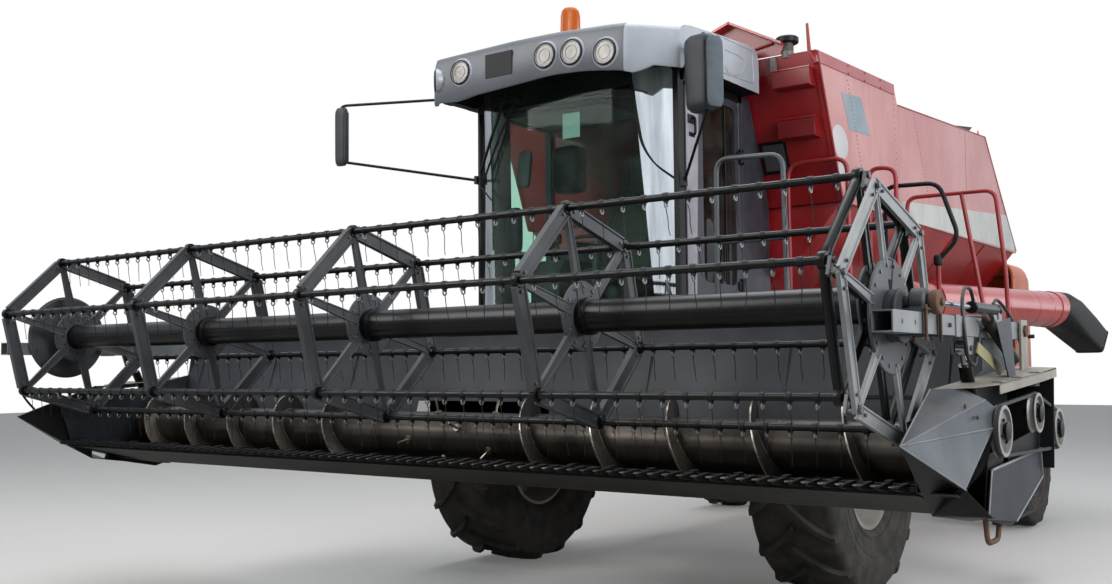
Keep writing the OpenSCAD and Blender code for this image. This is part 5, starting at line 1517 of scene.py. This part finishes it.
def makeHood():
    half, side, top, plate = body["half"], body["side"], body["top"], body["plate"]
    start = body["tankEnd"] + 4
    bag = Bag()
    outline = [(start, side), (start, top - 95), (7270, top + 70), (8350, side + 20), (8350, side)]
    bag.both(prism(outline, "x", half - plate, half))
    bag.add(prism([(start, top - 95), (7270, top + 70), (7262, top + 48), (start, top - 120)], "x",
        -half + plate, half - plate), 0)
    bag.add(prism([(7270, top + 70), (8350, side + 20), (8350, side), (8322, side + 8),
        (7256, top + 46)], "x", -half + plate, half - plate), 0)
    bag.add(box((-half + plate, start, side), (half - plate, start + plate, top - 118)), 1)
    # folded edge round the outline and a lap seam
    edge = [(half + 2, start + 6, top - 90), (half + 2, 7262, top + 64),
        (half + 2, 8342, side + 24)]
    bag.both(tube(edge, 6, 8), 2)
    rivetLine(bag, (5055, 1905), (5420, 1190), 26, half, 5)
    bag.both(prism([(6560, 1320), (6568, 1320), (6568, 2018), (6560, 2018)], "x", half, half + 1.5),
        2)
    # pale stripe over the lower side
    stripe = [(4700, 1110), (7985, 1338), (8346, 982), (5320, 966), (4700, 962)]
    bag.both(prism(stripe, "x", half, half + 1.2), 3)
    # intake flap, standing open at the left edge
    bag.add(prism([(6110, top + 6), (7005, top + 128), (6850, top + 46)], "x", 1120, 1400), 4)
    bag.add(box((880, 6120, top + 8), (1140, 6960, top + 70)), 4)
    bag.add(prism([(7180, top + 60), (7246, top + 140), (7254, top + 140), (7330, top + 20)], "x",
        1384, 1392), 1)
    # slats over the openings in the top and the rear slope
    slope = (top + 70 - (top - 95)) / (7270 - start)
    for n in range(11):
        y = 5150 + n * 78
        z = top - 95 + slope * (y - start)
        bag.add(prism([(y, z), (y + 46, z + 4), (y + 52, z + 22), (y + 8, z + 12)], "x", -620, 620),
            4)
    for x in (-640, 620):
        bag.add(prism([(5130, top - 62), (6060, top - 4), (6060, top + 26), (5130, top - 34)], "x",
            x, x + 20), 1)
    for n in range(9):
        y = 7480 + n * 74
        z = top + 70 - (y - 7270) * (top + 50 - side) / 1080
        bag.add(prism([(y, z - 4), (y + 50, z - 54), (y + 66, z - 40), (y + 22, z + 14)], "x", -560,
            560), 4)
    makePiece("engineHood", "carrier", bag, [fadedRed, brightRed, bandRed, stripeGrey, frameBlack,
        rustySteel], ["engine_hood"], bevel=3)


def makeStrawHood():
    bag = Bag()
    outerW, top, low = 1420, 870, -480

    def loop(w, t, corner, base):
        right = [(w, base)]
        for a in np.radians(np.linspace(0, 90, 9)):
            right.append((w - corner + corner * cos(a), t - corner + corner * sin(a)))
        return right + [(-x, z) for x, z in reversed(right)]

    rows = []
    for y, inset, corner in ((8302, 0, 150), (8900, 0, 160), (9050, 18, 180), (9115, 60, 200),
            (9144, 120, 210)):
        outer = loop(outerW - inset, top - inset, corner, low)
        inner = loop(outerW - inset - 22, top - inset - 22, corner - 10, low + 1)
        rows.append([(x, y, z) for x, z in outer] + [(x, y - (inset and 8), z) for x,
            z in reversed(inner)])
    bag.add(loft(rows))
    wall = loop(outerW - 112, top - 112, 205, low)
    bag.add(prism(wall, "y", 9104, 9126))
    for x in (-700, 0, 700):
        bag.add(box((x - 30, 9120, low + 60), (x + 30, 9132, top - 260)), 1)
    for side in (-1, 1):
        for z, mark in ((-180, 2), (-60, 3)):
            lamp = [(0, 9122), (52, 9122), (52, 9140), (46, 9146), (0, 9149)]
            bag.add(lathe(lamp, (side * 1180, 0, z), "y", 28), mark)
    for z in np.linspace(-440, 700, 9):
        bag.both(lathe([(0, 0), (9, 0), (8, 4), (0, 5)], (outerW, 8340, z), "x", 8), 4)
    makePiece("strawHood", "carrier", bag, [orangeHood, orangeHood, redLens, amber, rustySteel],
        ["straw_hood"], bevel=2)


def makeShell():
    side, half = body["side"], body["half"]
    bag = Bag()
    outline = [(-750, -800), (750, -800), (750, 300), (1100, 560), (half - 20, side),
        (-half + 20, side), (-1100, 560), (-750, 300)]
    bag.add(prism(outline, "y", 3420, 8300))
    bag.add(box((-540, 3385, 100), (540, 3425, 500)), 1)
    # lap seams and stiffeners on the sides and slopes
    for y in (4200, 5200, 6200, 7200):
        seam = [(752, y, -780), (752, y, 300), (1102, y, 561), (half - 18, y, side - 6)]
        bag.both(tube(seam, 5, 6))
    # the stiffeners are in the shaded dark red, a painted shade
    for y0, y1 in ((3520, 4120), (4280, 5120), (5280, 6120), (6280, 7120), (7280, 8180)):
        bag.both(box((750, y0, -640), (757, y1, -200)), 2)
        bag.both(box((750, y0, -120), (757, y1, 240)), 2)
        for y in (y0 + 40, y1 - 40):
            for z in (-600, -240, -80, 200):
                bag.both(bolt((757, y, z), "x", 11, 6), 3)
    # carriers of the side shields
    for lo, hi in (((1290, 4110, -700), (1320, 4790, -60)), ((1290, 4790, 44), (1320, 7950, 90))):
        bag.both(box(lo, hi))
    for y in (4150, 4740):
        bag.both(box((750, y, -120), (1290, y + 30, -60)), 1)
    for y in (4800, 7900):
        bag.both(box((750, y, 56), (1290, y + 30, 90)), 1)
    for y in (5300, 6500, 7700):
        for d in (-45, 33):
            lug = [(1300, 50), (1300, 70), (1346, 56), (1346, 36), (1331, 36), (1331, 50)]
            bag.both(prism(lug, "y", y + d, y + d + 12), 1)
        bag.both(tube([(1338, y - 45, 44), (1338, y + 45, 44)], 6, 12), 3)
    bag.add(rod(150, 50, 100, (1330, 5050, 0), "z", 48), 1)
    bag.add(box((750, 4990, 50), (1330, 5110, 90)), 1)
    makePiece("bodyShell", "carrier", bag, [brightRed, frameBlack, paintedShadeRed, rustySteel],
        ["body_shell"], bevel=3)


def makeShields():
    outline = [(4800, -700), (6480, -700), (6680, -480), (7950, -480), (7950, 43.7), (4800, 43.7)]
    for name, sign in (("left", 1), ("right", -1)):
        bag = Bag()
        bag.add(prism(outline, "x", 1290, 1316))
        for lo, hi in (((4880, -620), (5560, -90)), ((5660, -620), (6400, -90))):
            frame = [(lo[0], lo[1]), (hi[0], lo[1]), (hi[0], hi[1]), (lo[0], hi[1]), (lo[0], lo[1])]
            bag.add(tube([(1316, y, z) for y, z in rounded([(a, b, 0) for a, b in frame], 60)[:,
                :2]], 5, 6), 0)
        bag.add(prism([(6760, -420), (7880, -420), (7880, -380), (6760, -380)], "x", 1316, 1320))
        bag.add(prism([(4840, -20), (7910, -20), (7910, -8), (4840, -8)], "x", 1316, 1320), 1)
        bag.add(box((1314, 5600, -690), (1322, 5640, -600)), 2)
        bag.add(tube([(1318, 7200, -430), (1334, 7200, -425), (1334, 7340, -425),
            (1318, 7340, -430)], 7, 8, 12), 2)
        for y in (5300, 6500, 7700):
            knuckle = [(6.5, y - 30), (11, y - 30), (11, y + 30), (6.5, y + 30)]
            bag.add(lathe(knuckle, (1338, 0, 44), "y", 20, True), 2)
            bag.add(prism([(1310, 10), (1324, 10), (1344, 38), (1334, 36), (1326, 43), (1310, 43)],
                "y", y - 30, y + 30), 0)
        makePiece("sideShield" + name.capitalize(), "side_shield_" + name,
            bag.placed((0, 0, 0), sign), [brightRed, stripeGrey, blackPlastic],
            ["side_shield_" + name], bevel=2)


def makePlatform():
    bag = Bag()
    deck = 40
    bag.add(box((900, 2015, -deck), (1720, 4700, -4)))
    bag.add(box((1720, 3850, -deck), (2000, 4700, -4)))
    # raised bars of the tread plate, laid in a basket pattern
    for i, x in enumerate(np.arange(925, 1980, 38)):
        for j, y in enumerate(np.arange(2040, 4690, 38)):
            if x > 1700 and y < 3870:
                continue
            if (i + j) % 2:
                bar = [(-15, -2.5), (15, -2.5), (15, 2.5), (-15, 2.5)]
            else:
                bar = [(-2.5, -15), (2.5, -15), (2.5, 15), (-2.5, 15)]
            bag.add(prism([(x + a, y + b) for a, b in bar], "z", -5, 0))
    for y in (3450, 4600):
        bag.add(box((750, y, -58), (920, y + 60, -deck)), 3)
    rails = [([(1120, 2040, -20), (1130, 2040, 1110), (1600, 2040, 1090), (1615, 2040, -20)], 2,
        90), ([(1100, 3230, -20), (1100, 3230, 1250), (1560, 3230, 1250), (1560, 3230, -20)], 1,
        110), ([(1480, 3870, -20), (1480, 3870, 1265), (1690, 3870, 1250), (1690, 3870, -20)], 1,
        90), ([(1580, 3935, -20), (1580, 3935, 1120), (1990, 3935, 1110), (2130, 3935, 690),
        (1970, 3935, 530)], 3, 90), ([(1970, 3935, 530), (1960, 3970, -20)], 1, 0),
        ([(1500, 4680, -20), (1500, 4680, 1130), (2200, 4680, 1130), (2260, 4680, 500),
        (2310, 4680, -1250)], 1, 90), ([(1940, 4680, 1129), (2092, 4680, 160), (1985, 4680, -20)],
        1, 30), ([(1600, 2040, 560), (1125, 2040, 560)], 2, 0)]
    for path, mark, bend in rails:
        bag.add(tube(path, 17, 14, bend), mark)
    bag.add(lathe([(0, 488), (22, 490), (31, 500), (33, 530), (31, 560), (22, 572), (0, 574)],
        (1970, 3935, 0), "z", 20), 3)
    bag.add(tube([(2250, 4680, -35), (2400, 4680, -35)], 14, 12), 1)
    bag.add(tube([(2390, 4680, -35), (2455, 4680, -35)], 15.5, 12), 3)
    bag.add(tube([(2308, 4680, -1200), (2290, 4640, -1200)], 11, 10), 1)
    for x, y in ((1120, 2040), (1615, 2040), (1560, 3230), (1690, 3870), (1580, 3935),
            (1500, 4680)):
        bag.add(lathe([(0, -4), (38, -4), (38, 3), (24, 8), (0, 8)], (x, y, 0), "z", 20), 3)
    stile = [(1990, -40), (2060, -40), (2360, -1400), (2290, -1400)]
    for y in (3965, 4630):
        bag.add(prism(stile, "y", y, y + 20), 3)
    for n in range(5):
        x, z = 1995 + n * 64, -250 - n * 280
        bag.add(box((x, 3985, z), (x + 185, 4630, z + 6)), 3)
        for edge in (x, x + 179):
            bag.add(box((edge, 3985, z), (edge + 6, 4630, z + 25)), 3)
        for y in np.arange(4010, 4620, 44):
            bag.add(lathe([(0, 5), (14, 6), (10, 20), (7, 20), (9, 8), (0, 7)], (x + 92, y, z), "z",
                8), 3)
    makePiece("platform", "carrier", bag, [deckGrey, railRed, railGrey, frameBlack],
        ["platform"], bevel=1.0)


def makeUnloader():
    bag = Bag()
    r, height, length = 175, 300, 2600

    def laid(shape):
        return moved(turned(shape, "Z", -13.7), (1330, 5050, 0))

    bag.add(laid(tube([(0, 0, 101), (0, 0, 330)], r - 2, 40)), 1)
    bag.add(laid(lathe([(0, 101), (r + 30, 101), (r + 30, 118), (r, 122), (0, 122)], (0, 0, 0), "z",
        40)), 2)
    for n in range(12):
        a = radians(30 * n + 12)
        bag.add(laid(bolt(((r + 18) * cos(a), (r + 18) * sin(a), 118), "z", 10, 9)), 2)
    rows = []
    for rise in np.linspace(0, pi / 2, 7):
        rows.append(np.insert(circleOf(40) * r * cos(rise), 2, 330 + 160 * sin(rise), axis=1))
    bag.add(laid(grid(rows, False, True)))
    profile = [(0, -10), (r - 40, -4), (r - 8, 4), (r, 14), (r, 330), (r + 22, 334), (r + 22, 352),
        (r, 356), (r, 2340), (r + 4, 2344), (r + 4, 2372), (r, 2376), (r, 2560), (0, 2560)]
    bag.add(laid(lathe(profile, (0, 0, height), "y", 64)))
    for y in (900, 1500, 2060):
        bag.add(laid(lathe([(r - 1, y - 9), (r + 1.6, y - 6), (r + 1.6, y + 6), (r - 1, y + 9)],
            (0, 0, height), "y", 64, True)), 1)
    # slanted collar, then the boot: its round section turns into a rounded rectangle
    circle = circleOf(48)
    power = squared(circle, 0.22)

    def section(centre, wide, tall, tilt, square):
        flat = circle * (1 - square) + power * square * 0.98
        x = centre[0] + flat[:, 0] * wide
        return np.column_stack([x, centre[1] + flat[:, 1] * tall * sin(radians(tilt)),
            centre[2] + flat[:, 1] * tall * cos(radians(tilt))])

    def shellOf(stations):
        rows = [section(*s) for s in stations]
        inner = [section(c, w - 8, t - 8, tilt, q) for c, w, t, tilt, q in reversed(stations)]
        return grid(rows + inner, True, True)

    bag.add(laid(shellOf([((0, 2510, height), r + 8, r + 10, 8, 0),
        ((2, 2650, height), r + 8, r + 14, 18, 0)])), 0)
    boot = [((2, 2640, height), r + 10, r + 17, 18, 0), ((6, 2730, 292), r + 10, r + 20, 20, 0.25),
        ((20, 2880, 236), 178, 186, 24, 0.6), ((50, 3120, 100), 160, 158, 30, 0.9),
        ((70, 3330, -18), 146, 138, 34, 1.0)]
    bag.add(laid(shellOf(boot)), 3)
    rim = section(*boot[-1])
    bag.add(laid(tube(rim, 6, 6, closed=True)), 3)
    # flight that shows in the outlet
    bag.add(laid(moved(turned(helix(200, 2620, 30, 160, 300, 5, 1, 0, 24), "Z", 90),
        (0, 0, height))), 2)
    makePiece("unloadingAuger", "unloading_auger", bag,
        [augerRed, brightRed, frameBlack, blackPlastic], ["unloading_auger"], bevel=0)


makeTank()
makeHood()
makeStrawHood()
makeShell()
makeShields()
makePlatform()
makeUnloader()
print("body ready")


def tyreOf(width, radius, rim, lug, count):
    # carcass turned about x, then lugs that follow its shoulder from the middle to the side wall
    base = radius - lug
    w = width
    side = rim + (radius - rim) * 0.5
    outer = [(rim, 0.38), (rim + 14, 0.41), (rim + 30, 0.44), (rim + 44, 0.452), (rim + 50, 0.449),
        (side - 40, 0.488), (side, 0.5), (side + 50, 0.494), (base - 46, 0.483), (base - 20, 0.468),
        (base - 5, 0.44), (base, 0.40), (base + 3, 0.2), (base + 4, 0.0)]
    half = [(r, s * w) for r, s in outer]
    profile = half + [(r, -x) for r, x in reversed(half[:-1])]
    inner = [(base - 30, -0.40 * w), (base - 24, 0), (base - 30, 0.40 * w), (side, 0.46 * w)]
    profile += [(rim, -0.36 * w), (side, -0.46 * w)] + inner + [(rim, 0.36 * w)]
    bag = Bag()
    bag.add(lathe(profile, (0, 0, 0), "x", 96, True))
    # each lug bends rearward from the middle line to the shoulder and runs down the side wall
    path = [(-0.03 * w, radius, 0.0), (0.12 * w, radius, 0.16 * w),
        (0.28 * w, radius - 2, 0.30 * w), (0.40 * w, radius - 8, 0.38 * w),
        (0.465 * w, radius - 24, 0.41 * w), (0.486 * w, radius - 60, 0.42 * w)]
    half = lug * 0.52
    for s in (-1, 1):
        for n in range(count):
            start = (n + (0.5 if s > 0 else 0)) * 2 * pi / count
            rings = []
            for i, (x, r, shift) in enumerate(path):
                swell = 1.0 + 0.16 * i
                tip = half * (0.82 + 0.05 * i)
                foot = half * swell + 4
                deep = lug + 10 if i < 5 else 12
                ring = []
                for dr, across in ((0, -tip), (0, tip), (-deep, foot), (-deep, -foot)):
                    q = shift + across
                    angle = start + q / radius
                    reach = r + dr
                    ring.append((s * x, reach * cos(angle), reach * sin(angle)))
                rings.append(ring)
            bag.add(loft(rings))
    for r, size in ((side + 20, 2.2), (side - 50, 2.6), (rim + 60, 3.0)):
        for s in (-1, 1):
            x = s * w * (0.497 if r > side else 0.487 if r > side - 60 else 0.455)
            bag.add(torus((x, 0, 0), "x", r, size, 72, 5))
    return bag


def rimOf(width, radius, hub, hole, bolts):
    bag = Bag()
    w, r = width, radius
    barrel = [(r - 20, -0.405 * w), (r + 4, -0.40 * w), (r + 2, -0.36 * w), (r - 10, -0.30 * w),
        (r - 12, 0.30 * w), (r + 2, 0.36 * w), (r + 4, 0.40 * w), (r - 20, 0.405 * w),
        (r - 24, 0.39 * w), (r - 22, 0.32 * w), (r - 34, 0.22 * w), (r - 58, 32), (r * 0.72, 20),
        (r * 0.62, 34), (hub + 34, 36), (hub + 22, 60), (hole, 60), (hole, -60), (hub + 22, -60),
        (hub + 34, 4), (r - 60, 0), (r - 34, -0.2 * w), (r - 22, -0.32 * w), (r - 24, -0.39 * w)]
    bag.add(lathe(barrel, (0, 0, 0), "x", 72, True))
    for spot in spotsOf(bolts, 0, hub + 5):
        bag.add(bolt(spot + (60, 0, 0), "x", 17, 14), 1)
        bag.add(lathe([(0, 60), (9, 60), (9, 86), (0, 88)], spot, "x", 12), 1)
    for spot in spotsOf(12, 15, r * 0.8, (28, 0, 0)):
        bag.add(bolt(spot, "x", 12, 9), 1)
    bag.add(tube([(40, 0, r - 48), (0.28 * w, 0, r - 40), (0.3 * w, 0, r - 60)], (7, 6, 5), 8), 2)
    return bag


def makeWheels():
    sets = {"front": {"at": (1430, 3200, -980), "tyre": (620, 870, 406, 42, 16),
        "rim": (620, 406, 150, 90.6, 10)}, "rear": {"at": (1595, 7400, -1200),
        "tyre": (440, 650, 305, 30, 14), "rim": (440, 305, 95, 45.6, 8)}}
    for end, size in sets.items():
        tyre, rim = tyreOf(*size["tyre"]), rimOf(*size["rim"])
        for side, sign in (("left", 1), ("right", -1)):
            spot = np.array(size["at"]) * (sign, 1, 1)
            carried = f"wheel_{end}_{side}"
            makePiece(f"tyre{end.capitalize()}{side.capitalize()}", carried,
                tyre.placed(spot, sign), [rubber], [f"tyre_{end}_{side}"], angle=38)
            makePiece(f"rim{end.capitalize()}{side.capitalize()}", carried, rim.placed(spot, sign),
                [rimPaint, rustySteel, blackPlastic], [f"rim_{end}_{side}"])


makeWheels()
print("wheels ready")
